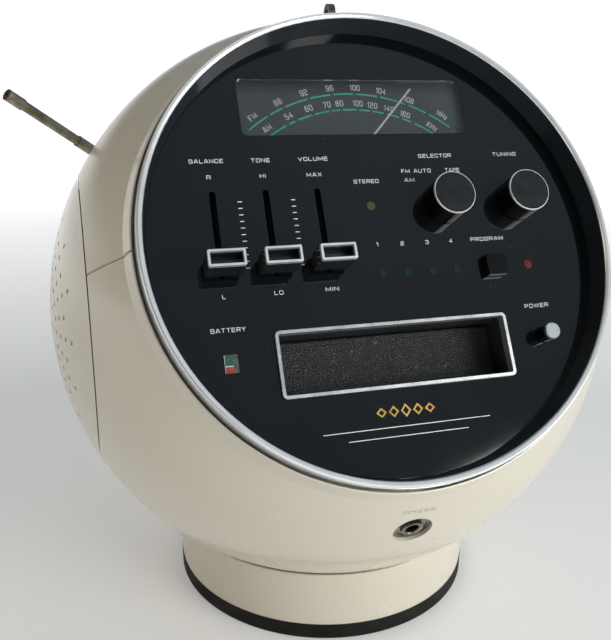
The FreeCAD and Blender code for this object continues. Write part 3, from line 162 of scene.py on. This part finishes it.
def clear(name, colour, rough=0.02):
    """Tinted clear plastic with faint haze."""
    material = bpy.data.materials.new(name)
    material.use_nodes = True
    tree = material.node_tree
    shader = tree.nodes["Principled BSDF"]
    shader.inputs["Transmission Weight"].default_value = 1.0
    shader.inputs["IOR"].default_value = 1.46
    lighter = tuple(min(1, c * 1.06) for c in colour)
    tree.links.new(two_tone(tree, noise(tree, 60), colour, lighter), shader.inputs["Base Color"])
    tree.links.new(grade(tree, noise(tree, 200), rough, rough + 0.03), shader.inputs["Roughness"])
    return material


IVORY = dusted(finish("ivory_plastic", (0.745, 0.692, 0.568), (0.765, 0.714, 0.592), rough=(0.262, 0.276),
                      scale=9, tone=(0.2, 0.8), grain=260, relief=0.012, coat=0.3),
               scale=90, size=0.02, shade=(0.42, 0.38, 0.30))
CHROME = finish("chrome_plate", (0.93, 0.94, 0.95), (0.86, 0.87, 0.88), rough=(0.16, 0.24), scale=40,
                grain=500, relief=0.01, metallic=0.55)
BRIGHT = finish("bright_trim", (0.93, 0.94, 0.95), (0.86, 0.87, 0.88), rough=(0.30, 0.42), scale=90,
                grain=900, relief=0.01, metallic=0.7)
SLOT_BRIGHT = finish("slot_trim", (0.66, 0.68, 0.69), (0.58, 0.60, 0.61), rough=(0.26, 0.38), scale=70,
                     grain=900, relief=0.01, metallic=0.8)
CAP_BRIGHT = finish("button_cap", (0.34, 0.37, 0.39), (0.29, 0.32, 0.34), rough=(0.28, 0.36), scale=120,
                    grain=900, relief=0.01, metallic=0.9)
FACE_BLACK = dusted(finish("face_gloss", (0.0030, 0.0042, 0.0052), (0.0042, 0.0055, 0.0068),
                           rough=(0.035, 0.06), scale=14, grain=300, relief=0.002))
WALL_BLACK = finish("wall_gloss", (0.016, 0.021, 0.026), (0.022, 0.028, 0.034), rough=(0.05, 0.10), scale=20,
                    grain=300, relief=0.004)
SLIDER_BLACK = finish("slider_satin", (0.016, 0.018, 0.020), (0.022, 0.024, 0.026), rough=(0.10, 0.20),
                      scale=60, grain=600, relief=0.015)
KNOB_BLACK = finish("knob_gloss", (0.0016, 0.0018, 0.0020), (0.0030, 0.0032, 0.0034), rough=(0.08, 0.13),
                    scale=60, grain=600, relief=0.006, specular=0.32)
CAP_BLACK = finish("cap_satin", (0.0030, 0.0034, 0.0038), (0.0050, 0.0056, 0.0062), rough=(0.26, 0.36),
                   scale=80, grain=900, relief=0.02)
MOULDED = finish("moulded_black", (0.020, 0.022, 0.023), (0.030, 0.032, 0.033), rough=(0.45, 0.58), scale=60,
                 grain=700, relief=0.04)
FLAP = leather("flap_grain", (0.045, 0.047, 0.050), (0.010, 0.010, 0.011))
RUBBER = finish("foot_rubber", (0.004, 0.004, 0.004), (0.009, 0.009, 0.008), rough=(0.55, 0.75), scale=35,
                grain=500, relief=0.05, specular=0.25)
NICKEL = finish("aged_nickel", (0.22, 0.20, 0.15), (0.44, 0.41, 0.34), rough=(0.28, 0.48), scale=160,
                tone=(0.35, 0.7), grain=900, relief=0.03, metallic=1)
SOCKET_METAL = finish("socket_metal", (0.13, 0.12, 0.10), (0.28, 0.265, 0.235), rough=(0.2, 0.34), scale=120,
                      grain=900, relief=0.015, metallic=1)
STEEL = finish("steel", (0.50, 0.50, 0.50), (0.62, 0.62, 0.61), rough=(0.28, 0.42), scale=90, grain=800,
               relief=0.02, metallic=1)
PLATED = finish("zinc_plate", (0.52, 0.51, 0.46), (0.64, 0.63, 0.58), rough=(0.3, 0.45), scale=50, grain=500,
                relief=0.02, metallic=1)
BRASS = finish("brass", (0.62, 0.43, 0.16), (0.74, 0.55, 0.24), rough=(0.22, 0.35), scale=90, metallic=1)
CORE = finish("core_plates", (0.05, 0.05, 0.05), (0.10, 0.09, 0.08), rough=(0.5, 0.7), scale=60, grain=900,
              relief=0.08, stretch=(1, 1, 12))
BOARD = finish("board_brown", (0.16, 0.09, 0.035), (0.22, 0.13, 0.05), rough=(0.5, 0.65), scale=40)
PAPER = finish("speaker_paper", (0.020, 0.020, 0.020), (0.032, 0.031, 0.030), rough=(0.8, 0.95), scale=90,
               grain=900, relief=0.2)
DARK = finish("eye_grey", (0.030, 0.030, 0.031), (0.050, 0.050, 0.051), rough=(0.35, 0.5), scale=90)
WHITE_PRINT = finish("white_print", (0.88, 0.90, 0.90), (0.96, 0.98, 0.98), rough=(0.45, 0.6), scale=300)
DIAL_PRINT = finish("dial_print", (0.90, 0.90, 0.86), (0.98, 0.98, 0.94), rough=(0.45, 0.6), scale=300)
TEAL_PRINT = finish("teal_print", (0.020, 0.56, 0.37), (0.035, 0.66, 0.44), rough=(0.45, 0.6), scale=300)
GOLD_PRINT = finish("gold_print", (0.42, 0.24, 0.045), (0.55, 0.34, 0.08), rough=(0.3, 0.45), scale=200,
                    metallic=0.6)
NEEDLE = finish("needle_white", (0.74, 0.73, 0.68), (0.84, 0.83, 0.78), rough=(0.4, 0.5), scale=200)
WINDOW = clear("window_clear", (0.90, 0.92, 0.92))
OLIVE = finish("olive_lens", (0.052, 0.070, 0.015), (0.070, 0.09, 0.022), rough=(0.2, 0.3), scale=600)
TEAL_LENS = finish("teal_lens", (0.001, 0.015, 0.016), (0.001, 0.020, 0.026), rough=(0.1, 0.2), scale=240)
RED_LENS = finish("red_lens", (0.14, 0.006, 0.007), (0.18, 0.009, 0.010), rough=(0.2, 0.3), scale=600)
METER_GREY = finish("meter_grey", (0.085, 0.095, 0.090), (0.13, 0.145, 0.14), rough=(0.08, 0.14), scale=400)
METER_GREEN = finish("meter_green", (0.025, 0.115, 0.060), (0.040, 0.16, 0.085), rough=(0.2, 0.3), scale=300)
METER_RED = finish("meter_red", (0.40, 0.045, 0.05), (0.50, 0.07, 0.07), rough=(0.2, 0.3), scale=300)
METER_WHITE = finish("meter_white", (0.6, 0.6, 0.58), (0.7, 0.7, 0.68), rough=(0.2, 0.3), scale=300)

LOOKS = {
    "upper_shell": IVORY, "lower_shell": IVORY, "left_speaker_cap": IVORY, "right_speaker_cap": IVORY,
    "battery_door": IVORY, "pedestal": IVORY,
    "front_ring": CHROME, "bezel_sleeve": WALL_BLACK, "face_plate": FACE_BLACK, "dial_window": WINDOW,
    "dial_needle": NEEDLE, "cartridge_trim": SLOT_BRIGHT, "cartridge_door": FLAP, "cartridge_guide": MOULDED,
    "balance_knob": SLIDER_BLACK, "tone_knob": SLIDER_BLACK, "volume_knob": SLIDER_BLACK,
    "balance_knob_trim": BRIGHT, "tone_knob_trim": BRIGHT, "volume_knob_trim": BRIGHT,
    "selector_knob": KNOB_BLACK, "tuning_knob": KNOB_BLACK,
    "selector_knob_cap": BRIGHT, "tuning_knob_cap": BRIGHT,
    "slide_controls": MOULDED, "selector_switch": PLATED, "tuning_capacitor": PLATED,
    "selector_shaft": STEEL, "tuning_shaft": STEEL,
    "program_button": KNOB_BLACK, "power_button": KNOB_BLACK, "power_button_cap": CAP_BRIGHT,
    "stereo_lamp": OLIVE, "program_lamps": TEAL_LENS, "pilot_lamp": RED_LENS, "battery_meter": METER_GREY,
    "headphone_jack": SOCKET_METAL, "rubber_foot": RUBBER, "base_plate": BOARD, "pedestal_screws": STEEL,
    "antenna_base": MOULDED, "antenna_knuckle": NICKEL, "antenna_outer_tube": NICKEL,
    "antenna_middle_tube": NICKEL, "antenna_inner_rod": NICKEL, "hanging_eye": DARK,
    "deck_frame": PLATED, "capstan_flywheel": STEEL, "drive_motor": PLATED, "motor_pulley": BRASS,
    "drive_belt": RUBBER, "playback_head": STEEL, "power_transformer": CORE, "circuit_board": BOARD,
    "chassis_plate": PLATED, "left_speaker": PAPER, "right_speaker": PAPER, "battery_tray": MOULDED,
    "rear_socket_panel": MOULDED,
}


def dial_with_painted_shadow():
    """Grey scale with a painted shadow: darker along its top edge, as if shaded by the rim of the opening."""
    up_face = (0, math.cos(FACE_TILT), math.sin(FACE_TILT))
    shadow_band_low = CENTRE.z * math.sin(FACE_TILT) + 0.0745
    shadow_band_tall = 0.0045
    material = finish("dial_with_painted_shadow", (0.046, 0.056, 0.052), (0.060, 0.068, 0.066), rough=(0.45, 0.6),
                      scale=14, grain=500)
    tree = material.node_tree
    colour = tree.nodes["Principled BSDF"].inputs["Base Color"]
    place = tree.nodes.new("ShaderNodeTexCoord")
    height = tree.nodes.new("ShaderNodeVectorMath")
    height.operation = "DOT_PRODUCT"
    height.inputs[1].default_value = up_face
    tree.links.new(place.outputs["Object"], height.inputs[0])
    # painted shadow: a dark band mixed into the scale's colour along its top edge, in place of the shade of the
    # opening's rim
    painted_shadow = tree.nodes.new("ShaderNodeMixRGB")
    painted_shadow.inputs["Color2"].default_value = (0.010, 0.012, 0.013, 1)
    shade = grade(tree, height.outputs["Value"], 0, 1, shadow_band_low, shadow_band_low + shadow_band_tall)
    tree.links.new(shade, painted_shadow.inputs["Fac"])
    tree.links.new(colour.links[0].from_socket, painted_shadow.inputs["Color1"])
    tree.links.new(painted_shadow.outputs["Color"], colour)
    return material


LOOKS["dial_scale"] = dial_with_painted_shadow()
for node, material in LOOKS.items():
    obj = NODES[node]
    if not obj.material_slots:
        obj.data.materials.append(material)
    for slot in obj.material_slots:
        slot.material = material


# ------------------------------------------------------------------ printing

def add(name, bm, material, body="case", matrix=FACE):
    """Makes a named piece that rides on a body."""
    mesh = bpy.data.meshes.new(name)
    bmesh.ops.transform(bm, matrix=matrix, verts=bm.verts)
    bmesh.ops.recalc_face_normals(bm, faces=bm.faces)
    bm.to_mesh(mesh)
    bm.free()
    obj = bpy.data.objects.new(name, mesh)
    bpy.context.scene.collection.objects.link(obj)
    obj.data.materials.append(material)
    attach(obj, body)


def softened(points):
    """Points of a stroke, with each corner that names a radius rounded."""
    path = []
    for number, point in enumerate(points):
        here = Vector(point[:2])
        if len(point) == 2 or number in (0, len(points) - 1):
            path.append(here)
            continue
        back = (Vector(points[number - 1][:2]) - here).normalized() * point[2]
        ahead = (Vector(points[number + 1][:2]) - here).normalized() * point[2]
        for step in range(CORNER_STEPS + 1):
            t = step / CORNER_STEPS
            path.append(here + back * (1 - t) ** 2 + ahead * t ** 2)
    return path


def ribbon(bm, path, width, height):
    """Flat raised stroke along a path, mitred at its corners, open or closed."""
    closed = (path[0] - path[-1]).length < SAME_POINT
    if closed:
        path = path[:-1]
    count = len(path)
    rows = []
    for number, here in enumerate(path):
        before = path[number - 1] if closed or number else here
        after = path[(number + 1) % count] if closed or number < count - 1 else here
        arriving = here - before
        leaving = after - here
        first = (arriving if arriving.length > NO_LENGTH else leaving).normalized()
        second = leaving.normalized() if leaving.length > NO_LENGTH else first
        middle = first + second
        middle = middle.normalized() if middle.length > 0.2 else first
        side = Vector((-middle.y, middle.x))
        grow = 1 / max(0.5, abs(middle.dot(first)))
        edge = side * (width / 2 * grow)
        end = Vector((0, 0))
        if not closed and number in (0, count - 1):
            end = middle * (width * 0.25) * (-1 if number == 0 else 1)
        rows.append([bm.verts.new((*(here + sway + end), z))
                     for sway in (edge, -edge) for z in (height, height + PRINT_THICK)])
    for number in range(count if closed else count - 1):
        a = rows[number]
        b = rows[(number + 1) % count]
        bm.faces.new((a[1], a[3], b[3], b[1]))
        bm.faces.new((a[0], a[1], b[1], b[0]))
        bm.faces.new((a[3], a[2], b[2], b[3]))
    if not closed:
        for row in (rows[0], rows[-1]):
            bm.faces.new((row[0], row[2], row[3], row[1]))


# letters: width, then strokes on a square of 1, where a third number rounds the corner by Q
Q = 0.24
GLYPHS = {
    "A": (1.1, [[(0, 0), (0.42, 1), (0.68, 1), (1.1, 0)], [(0.2, 0.3), (0.9, 0.3)]]),
    "B": (1.0, [[(0, 0), (1, 0, Q), (1, 0.52, Q), (0, 0.52)],
                [(0, 0.52), (0.94, 0.52, Q), (0.94, 1, Q), (0, 1), (0, 0)]]),
    "C": (1.0, [[(1, 0.72), (1, 1, Q), (0, 1, Q), (0, 0, Q), (1, 0, Q), (1, 0.28)]]),
    "E": (0.95, [[(0.95, 1), (0, 1), (0, 0), (0.95, 0)], [(0, 0.52), (0.88, 0.52)]]),
    "F": (0.92, [[(0.92, 1), (0, 1), (0, 0)], [(0, 0.5), (0.82, 0.5)]]),
    "G": (1.0, [[(1, 0.74), (1, 1, Q), (0, 1, Q), (0, 0, Q), (1, 0, Q), (1, 0.48), (0.56, 0.48)]]),
    "H": (1.0, [[(0, 0), (0, 1)], [(1, 0), (1, 1)], [(0, 0.52), (1, 0.52)]]),
    "I": (0.0, [[(0, 0), (0, 1)]]),
    "K": (0.98, [[(0, 0), (0, 1)], [(0, 0.5), (0.3, 0.5), (0.98, 1)], [(0.38, 0.55), (1, 0)]]),
    "L": (0.88, [[(0, 1), (0, 0), (0.88, 0)]]),
    "M": (1.2, [[(0, 0), (0, 1), (0.6, 0.2), (1.2, 1), (1.2, 0)]]),
    "N": (1.0, [[(0, 0), (0, 1), (1, 0), (1, 1)]]),
    "O": (1.0, [[(0.5, 0), (1, 0, Q), (1, 1, Q), (0, 1, Q), (0, 0, Q), (0.5, 0)]]),
    "P": (0.96, [[(0, 0), (0, 1), (0.96, 1, Q), (0.96, 0.44, Q), (0, 0.44)]]),
    "R": (1.0, [[(0, 0), (0, 1), (1, 1, Q), (1, 0.46, Q), (0, 0.46)], [(0.66, 0.46), (1, 0)]]),
    "S": (1.0, [[(1, 0.78), (1, 1, Q), (0, 1, Q), (0, 0.52, Q), (1, 0.52, Q), (1, 0, Q), (0, 0, Q),
                 (0, 0.22)]]),
    "T": (1.0, [[(0, 1), (1, 1)], [(0.5, 1), (0.5, 0)]]),
    "U": (1.0, [[(0, 1), (0, 0, Q), (1, 0, Q), (1, 1)]]),
    "V": (1.1, [[(0, 1), (0.55, 0), (1.1, 1)]]),
    "W": (1.5, [[(0, 1), (0.38, 0), (0.75, 1), (1.12, 0), (1.5, 1)]]),
    "X": (1.05, [[(0, 0), (1.05, 1)], [(0, 1), (1.05, 0)]]),
    "Y": (1.05, [[(0, 1), (0.52, 0.46), (1.05, 1)], [(0.52, 0.46), (0.52, 0)]]),
    "z": (0.55, [[(0, 0.6), (0.55, 0.6), (0, 0), (0.55, 0)]]),
    "0": (0.9, [[(0.45, 0), (0.9, 0, Q), (0.9, 1, Q), (0, 1, Q), (0, 0, Q), (0.45, 0)]]),
    "1": (0.35, [[(0, 0.78), (0.3, 1), (0.3, 0)]]),
    "2": (0.9, [[(0, 0.78), (0, 1, Q), (0.9, 1, Q), (0.9, 0.52, Q), (0, 0.5, Q), (0, 0), (0.9, 0)]]),
    "3": (0.9, [[(0, 0.8), (0, 1, Q), (0.9, 1, Q), (0.9, 0.53, Q), (0.3, 0.53)],
                [(0.3, 0.53), (0.9, 0.53, Q), (0.9, 0, Q), (0, 0, Q), (0, 0.2)]]),
    "4": (0.95, [[(0.68, 0), (0.68, 1), (0, 0.28), (0.95, 0.28)]]),
    "5": (0.9, [[(0.86, 1), (0, 1), (0, 0.56), (0.9, 0.56, Q), (0.9, 0, Q), (0, 0, Q), (0, 0.2)]]),
    "6": (0.9, [[(0.88, 0.8), (0.88, 1, Q), (0, 1, Q), (0, 0, Q), (0.9, 0, Q), (0.9, 0.56, Q), (0, 0.56)]]),
    "7": (0.9, [[(0, 1), (0.9, 1), (0.35, 0)]]),
    "8": (0.9, [[(0.45, 0), (0.9, 0, Q), (0.9, 0.53, Q), (0, 0.53, Q), (0, 0, Q), (0.45, 0)],
                [(0.45, 0.53), (0.86, 0.53, Q), (0.86, 1, Q), (0.04, 1, Q), (0.04, 0.53, Q), (0.45, 0.53)]]),
    "9": (0.9, [[(0.02, 0.2), (0.02, 0, Q), (0.9, 0, Q), (0.9, 1, Q), (0, 1, Q), (0, 0.44, Q), (0.9, 0.44)]]),
    " ": (0.5, []),
}


def word(bm, text, x, y, wide, tall, stroke, height, gap, turn=0.0):
    """Word centred on x, y and stretched to a width."""
    natural = sum(GLYPHS[sign][0] for sign in text) + gap * (len(text) - 1)
    spread = (wide - stroke) / natural if natural else tall
    across = Matrix.Rotation(turn, 2)
    cursor = -natural / 2
    for sign in text:
        advance, strokes = GLYPHS[sign]
        for points in strokes:
            path = []
            for spot in softened(points):
                local = Vector(((cursor + spot.x) * spread, (spot.y - 0.5) * (tall - stroke)))
                path.append(across @ local + Vector((x, y)))
            ribbon(bm, path, stroke, height)
        cursor += advance + gap


# words on the control face: text, x, y, width
LABELS = [
    ("BALANCE", -75.7, 40.7, 15.1), ("R", -75.4, 33.1, 1.9), ("L", -75.0, -20.9, 1.5),
    ("TONE", -51.4, 40.6, 8.6), ("HI", -51.3, 33.1, 2.7), ("LO", -51.2, -20.7, 4.0),
    ("VOLUME", -27.0, 40.8, 14.0), ("MAX", -27.5, 33.1, 7.2), ("MIN", -27.2, -20.7, 6.1),
    ("STEREO", -3.2, 29.1, 12.2), ("SELECTOR", 33.4, 41.1, 17.0), ("FM AUTO", 22.5, 33.6, 15.0),
    ("AM", 18.25, 29.1, 5.1), ("TAPE", 41.1, 33.6, 7.6), ("TUNING", 70.4, 41.2, 12.7),
    ("PROGRAM", 52.0, -1.5, 16.9), ("POWER", 70.7, -35.4, 12.4), ("BATTERY", -74.9, -35.3, 14.9),
    ("1", -2.9, -1.4, 0.9), ("2", 9.2, -1.6, 1.7), ("3", 21.4, -1.6, 1.7), ("4", 33.4, -1.6, 1.8),
]


def line(bm, x, y, wide, stroke):
    """Level stroke on the control face, centred on x, y."""
    ribbon(bm, [Vector((x - wide / 2, y)), Vector((x + wide / 2, y))], stroke, FACE_PRINT)


def face_print():
    """Words, the marks beside the sliders and the two rules at the foot of the face."""
    letter_tall = 1.9
    letter_stroke = 0.26
    letter_gap = 0.5
    mark_count = 11
    mark_pitch = 3.02
    mark_wide = 1.7
    mark_stroke = 0.40
    rule_stroke = 0.35
    bm = bmesh.new()
    for text, x, y, wide in LABELS:
        word(bm, text, x, y, wide, letter_tall, letter_stroke, FACE_PRINT, letter_gap)
    for x, top in ((-63.1, 21.3), (-39.0, 21.4)):
        for number in range(mark_count):
            line(bm, x, top - mark_pitch * number, mark_wide, mark_stroke)
    for x, y, wide in ((-2.1, -83.2, 77.0), (-2.5, -87.2, 55.0)):
        line(bm, x, y, wide, rule_stroke)
    add("face_print", bm, WHITE_PRINT)


def gold_mark():
    """Plain row of five lozenges over the two rules, the middle one the tallest."""
    row_x = -2.5
    row_y = -76.6
    pitch = 5.6
    half_wide = 1.9
    half_tall = 2.4
    shrink = 0.35
    stroke = 0.7
    bm = bmesh.new()
    for number in range(-2, 3):
        x = row_x + pitch * number
        tall = half_tall - shrink * abs(number)
        path = [Vector((x, row_y - tall)), Vector((x + half_wide, row_y)), Vector((x, row_y + tall)),
                Vector((x - half_wide, row_y)), Vector((x, row_y - tall))]
        ribbon(bm, path, stroke, FACE_PRINT)
    add("gold_mark", bm, GOLD_PRINT)


# dial: centre of its arcs, radius of each arc, dashes from one angle to the next in degrees
ARC_X = -3.6
ARC_Y = -2.95
FM_RADIUS = 78.2
AM_RADIUS = 70.0
ARC_STEP = 1.5
FM_DASHES = [(130.0, 121.2), (120.4, 114.9), (114.0, 105.1), (104.2, 96.3), (95.5, 88.0),
             (87.2, 79.1), (78.3, 68.5), (67.6, 60.4), (59.5, 50.5)]
AM_DASHES = [(128.6, 117.5), (116.4, 113.4), (112.4, 105.8), (104.9, 98.5), (97.7, 94.0), (93.3, 87.4),
             (86.5, 81.8), (81.0, 76.2), (75.2, 69.8), (68.8, 64.5), (63.5, 54.5)]
# numbers and words on the dial: text, x, y, width
DIAL_WORDS = [
    ("FM", -51.3, 63.6, 4.2), ("88", -38.6, 71.0, 3.8), ("92", -25.4, 75.8, 3.8), ("96", -12.4, 78.2, 3.8),
    ("100", 0.4, 78.5, 4.9), ("104", 13.4, 76.8, 4.9), ("108", 27.2, 72.0, 4.9), ("MHz", 43.3, 64.1, 5.6),
    ("AM", -45.3, 57.8, 4.4), ("54", -34.3, 64.0, 3.8), ("60", -24.1, 67.8, 3.8), ("70", -15.0, 69.6, 3.7),
    ("80", -8.7, 70.3, 3.8), ("100", 0.6, 70.3, 4.9), ("120", 7.8, 69.3, 4.9), ("140", 16.0, 67.5, 4.9),
    ("160", 23.8, 64.5, 4.9), ("KHz", 36.8, 58.0, 5.4),
]


def arc(bm, radius, start, end, width):
    """Stroke along an arc of the dial, its angles in degrees."""
    steps = max(2, int(abs(start - end) / ARC_STEP))
    path = []
    for step in range(steps + 1):
        turn = math.radians(start + (end - start) * step / steps)
        path.append(Vector((ARC_X + radius * math.cos(turn), ARC_Y + radius * math.sin(turn))))
    ribbon(bm, path, width, SCALE_PRINT)


def dial_print():
    """Two dashed arcs and the numbers that stand on them."""
    dash_inset = 0.3
    dash_wide = 0.75
    number_tall = 3.0
    number_stroke = 0.33
    number_gap = 0.55
    bm = bmesh.new()
    for radius, dashes in ((FM_RADIUS, FM_DASHES), (AM_RADIUS, AM_DASHES)):
        for start, end in dashes:
            arc(bm, radius, start - dash_inset, end + dash_inset, dash_wide)
    add("dial_arcs", bm, TEAL_PRINT)
    bm = bmesh.new()
    for text, x, y, wide in DIAL_WORDS:
        turn = math.atan2(y - ARC_Y, x - ARC_X) - math.pi / 2
        word(bm, text, x, y, wide, number_tall, number_stroke, SCALE_PRINT, number_gap, turn)
    add("dial_numbers", bm, DIAL_PRINT)


def slab(bm, x0, x1, y0, y1, z0, z1):
    """Box between two corners."""
    made = bmesh.ops.create_cube(bm, size=1)["verts"]
    bmesh.ops.scale(bm, vec=(x1 - x0, y1 - y0, z1 - z0), verts=made)
    bmesh.ops.translate(bm, vec=((x0 + x1) / 2, (y0 + y1) / 2, (z0 + z1) / 2), verts=made)


def meter_face():
    """Green over red scale with a pale line, under the meter's clear front."""
    under_glass = FACE_FRONT - 0.42
    film = 0.06
    for name, material, box in (
            ("meter_upper", METER_GREEN, (-77.8, -74.4, -50.2, -46.6)),
            ("meter_lower", METER_RED, (-77.8, -74.4, -53.3, -50.7)),
            ("meter_line", METER_WHITE, (-77.8, -74.4, -50.7, -50.2)),
            ("meter_edge", METER_WHITE, (-78.0, -77.7, -53.3, -45.8))):
        bm = bmesh.new()
        slab(bm, *box, under_glass, under_glass + film)
        add(name, bm, material)


def knob_discs():
    """Satin discs set in the bright rims of the two round knobs."""
    for body, x in KNOBS:
        bm = bmesh.new()
        made = bmesh.ops.create_cone(bm, cap_ends=True, segments=96, radius1=DISC_RADIUS, radius2=DISC_RADIUS,
                                     depth=DISC_THICK)
        bmesh.ops.translate(bm, vec=(x, KNOB_UP, FACE_FRONT + KNOB_RISE + 0.02), verts=made["verts"])
        add(body + "_disc", bm, CAP_BLACK, body)


def socket_word():
    """Raised word over the headphone socket, wrapped round the ball."""
    word_drop = math.radians(22.7)
    root = BALL_RADIUS - 0.1
    raised = 0.35
    bm = bmesh.new()
    word(bm, "PHONES", 0, 0, wide=15.0, tall=2.4, stroke=0.5, height=0, gap=0.55)
    for vert in bm.verts:
        turn = vert.co.x / BALL_RADIUS
        drop = word_drop - vert.co.y / BALL_RADIUS
        reach = root + (raised if vert.co.z > PRINT_THICK / 2 else 0)
        vert.co = reach * Vector((math.sin(turn), -math.cos(turn) * math.cos(drop), -math.sin(drop)))
    add("socket_word", bm, IVORY, matrix=Matrix.Translation(CENTRE) @ Matrix.Scale(MM, 4))


face_print()
gold_mark()
dial_print()
meter_face()
knob_discs()
socket_word()


# ------------------------------------------------------------------ stage

def pale_floor():
    """Plain floor that glows a little more with its distance from the foot."""
    bm = bmesh.new()
    bmesh.ops.create_grid(bm, x_segments=1, y_segments=1, size=30)
    mesh = bpy.data.meshes.new("floor")
    bm.to_mesh(mesh)
    bm.free()
    floor = bpy.data.objects.new("floor", mesh)
    bpy.context.scene.collection.objects.link(floor)
    material = finish("floor_pale", (0.74, 0.74, 0.73), (0.76, 0.76, 0.75), rough=(0.7, 0.8), scale=3, grain=60)
    tree = material.node_tree
    shader = tree.nodes["Principled BSDF"]
    place = tree.nodes.new("ShaderNodeTexCoord")
    reach = tree.nodes.new("ShaderNodeVectorMath")
    reach.operation = "LENGTH"
    tree.links.new(place.outputs["Object"], reach.inputs[0])
    shader.inputs["Emission Color"].default_value = (1, 1, 1, 1)
    glow = grade(tree, reach.outputs["Value"], 0.26, 0.95, start=0.36, end=1.9)
    tree.links.new(glow, shader.inputs["Emission Strength"])
    floor.data.materials.append(material)


def studio():
    """Soft room: warm on the left, cool above and on the right, white low at the back."""
    warm = (0.10, 0.072, 0.040)
    cool = (0.34, 0.40, 0.45)
    world = bpy.data.worlds.new("studio")
    bpy.context.scene.world = world
    world.use_nodes = True
    tree = world.node_tree
    place = tree.nodes.new("ShaderNodeTexCoord")
    split = tree.nodes.new("ShaderNodeSeparateXYZ")
    tree.links.new(place.outputs["Generated"], split.inputs["Vector"])
    room = tree.nodes["Background"]
    side = grade(tree, split.outputs["X"], 0, 1, start=-0.55, end=0.35)
    tree.links.new(two_tone(tree, side, warm, cool, 0, 1), room.inputs["Color"])
    tree.links.new(grade(tree, split.outputs["Z"], 0.65, 1.15, start=0.25, end=0.9), room.inputs["Strength"])
    white = tree.nodes.new("ShaderNodeBackground")
    white.inputs["Color"].default_value = (1, 1, 1, 1)
    white.inputs["Strength"].default_value = 1.0
    low = grade(tree, split.outputs["Z"], 1, 0, start=0.12, end=0.25)
    behind = grade(tree, split.outputs["Y"], 0, 1, start=0.35, end=0.65)
    both = tree.nodes.new("ShaderNodeMath")
    both.operation = "MULTIPLY"
    tree.links.new(low, both.inputs[0])
    tree.links.new(behind, both.inputs[1])
    mix = tree.nodes.new("ShaderNodeMixShader")
    tree.links.new(both.outputs["Value"], mix.inputs["Fac"])
    tree.links.new(room.outputs["Background"], mix.inputs[1])
    tree.links.new(white.outputs["Background"], mix.inputs[2])
    tree.links.new(mix.outputs["Shader"], tree.nodes["World Output"].inputs["Surface"])


# soft lights: name, place, the point it faces, width and height, power, colour
LIGHTS = (
    ("key", (1.5, -1.9, 0.80), (0, 0, 0.15), (1.4, 1.0), 35, (1.0, 0.985, 0.96)),
    ("top", (-0.2, 0.2, 2.2), (0, 0, 0.15), (1.8, 1.8), 3.5, (0.92, 0.96, 1.0)),
    ("strip", (-1.3, 0.0, 0.75), (0, 0, 0.2), (0.25, 0.9), 1.0, (1.0, 0.84, 0.60)),
)


def area_light(name, place, target, size, power, colour):
    data = bpy.data.lights.new(name, "AREA")
    data.shape = "RECTANGLE"
    data.size = size[0]
    data.size_y = size[1]
    data.energy = power
    data.color = colour
    light = bpy.data.objects.new(name, data)
    light.location = place
    light.rotation_euler = (Vector(target) - Vector(place)).to_track_quat("-Z", "Y").to_euler()
    bpy.context.scene.collection.objects.link(light)


def front_camera():
    """Camera a little left of the front and above it, turned to the ball."""
    place = (-0.13256, -0.40456, 0.28101)
    right = (0.95861, -0.28459, 0.00864)
    up = (0.07678, 0.2876, 0.95467)
    back = (-0.27418, -0.91449, 0.29754)
    data = bpy.data.cameras.new("camera")
    data.sensor_width = 36
    data.lens = 43.875
    data.clip_start = 0.01
    camera = bpy.data.objects.new("camera", data)
    camera.matrix_world = Matrix((*zip(right, up, back, place), (0, 0, 0, 1)))
    bpy.context.scene.collection.objects.link(camera)
    bpy.context.scene.camera = camera
    bpy.context.scene.view_settings.view_transform = "Standard"


pale_floor()
studio()
for light in LIGHTS:
    area_light(*light)
front_camera()
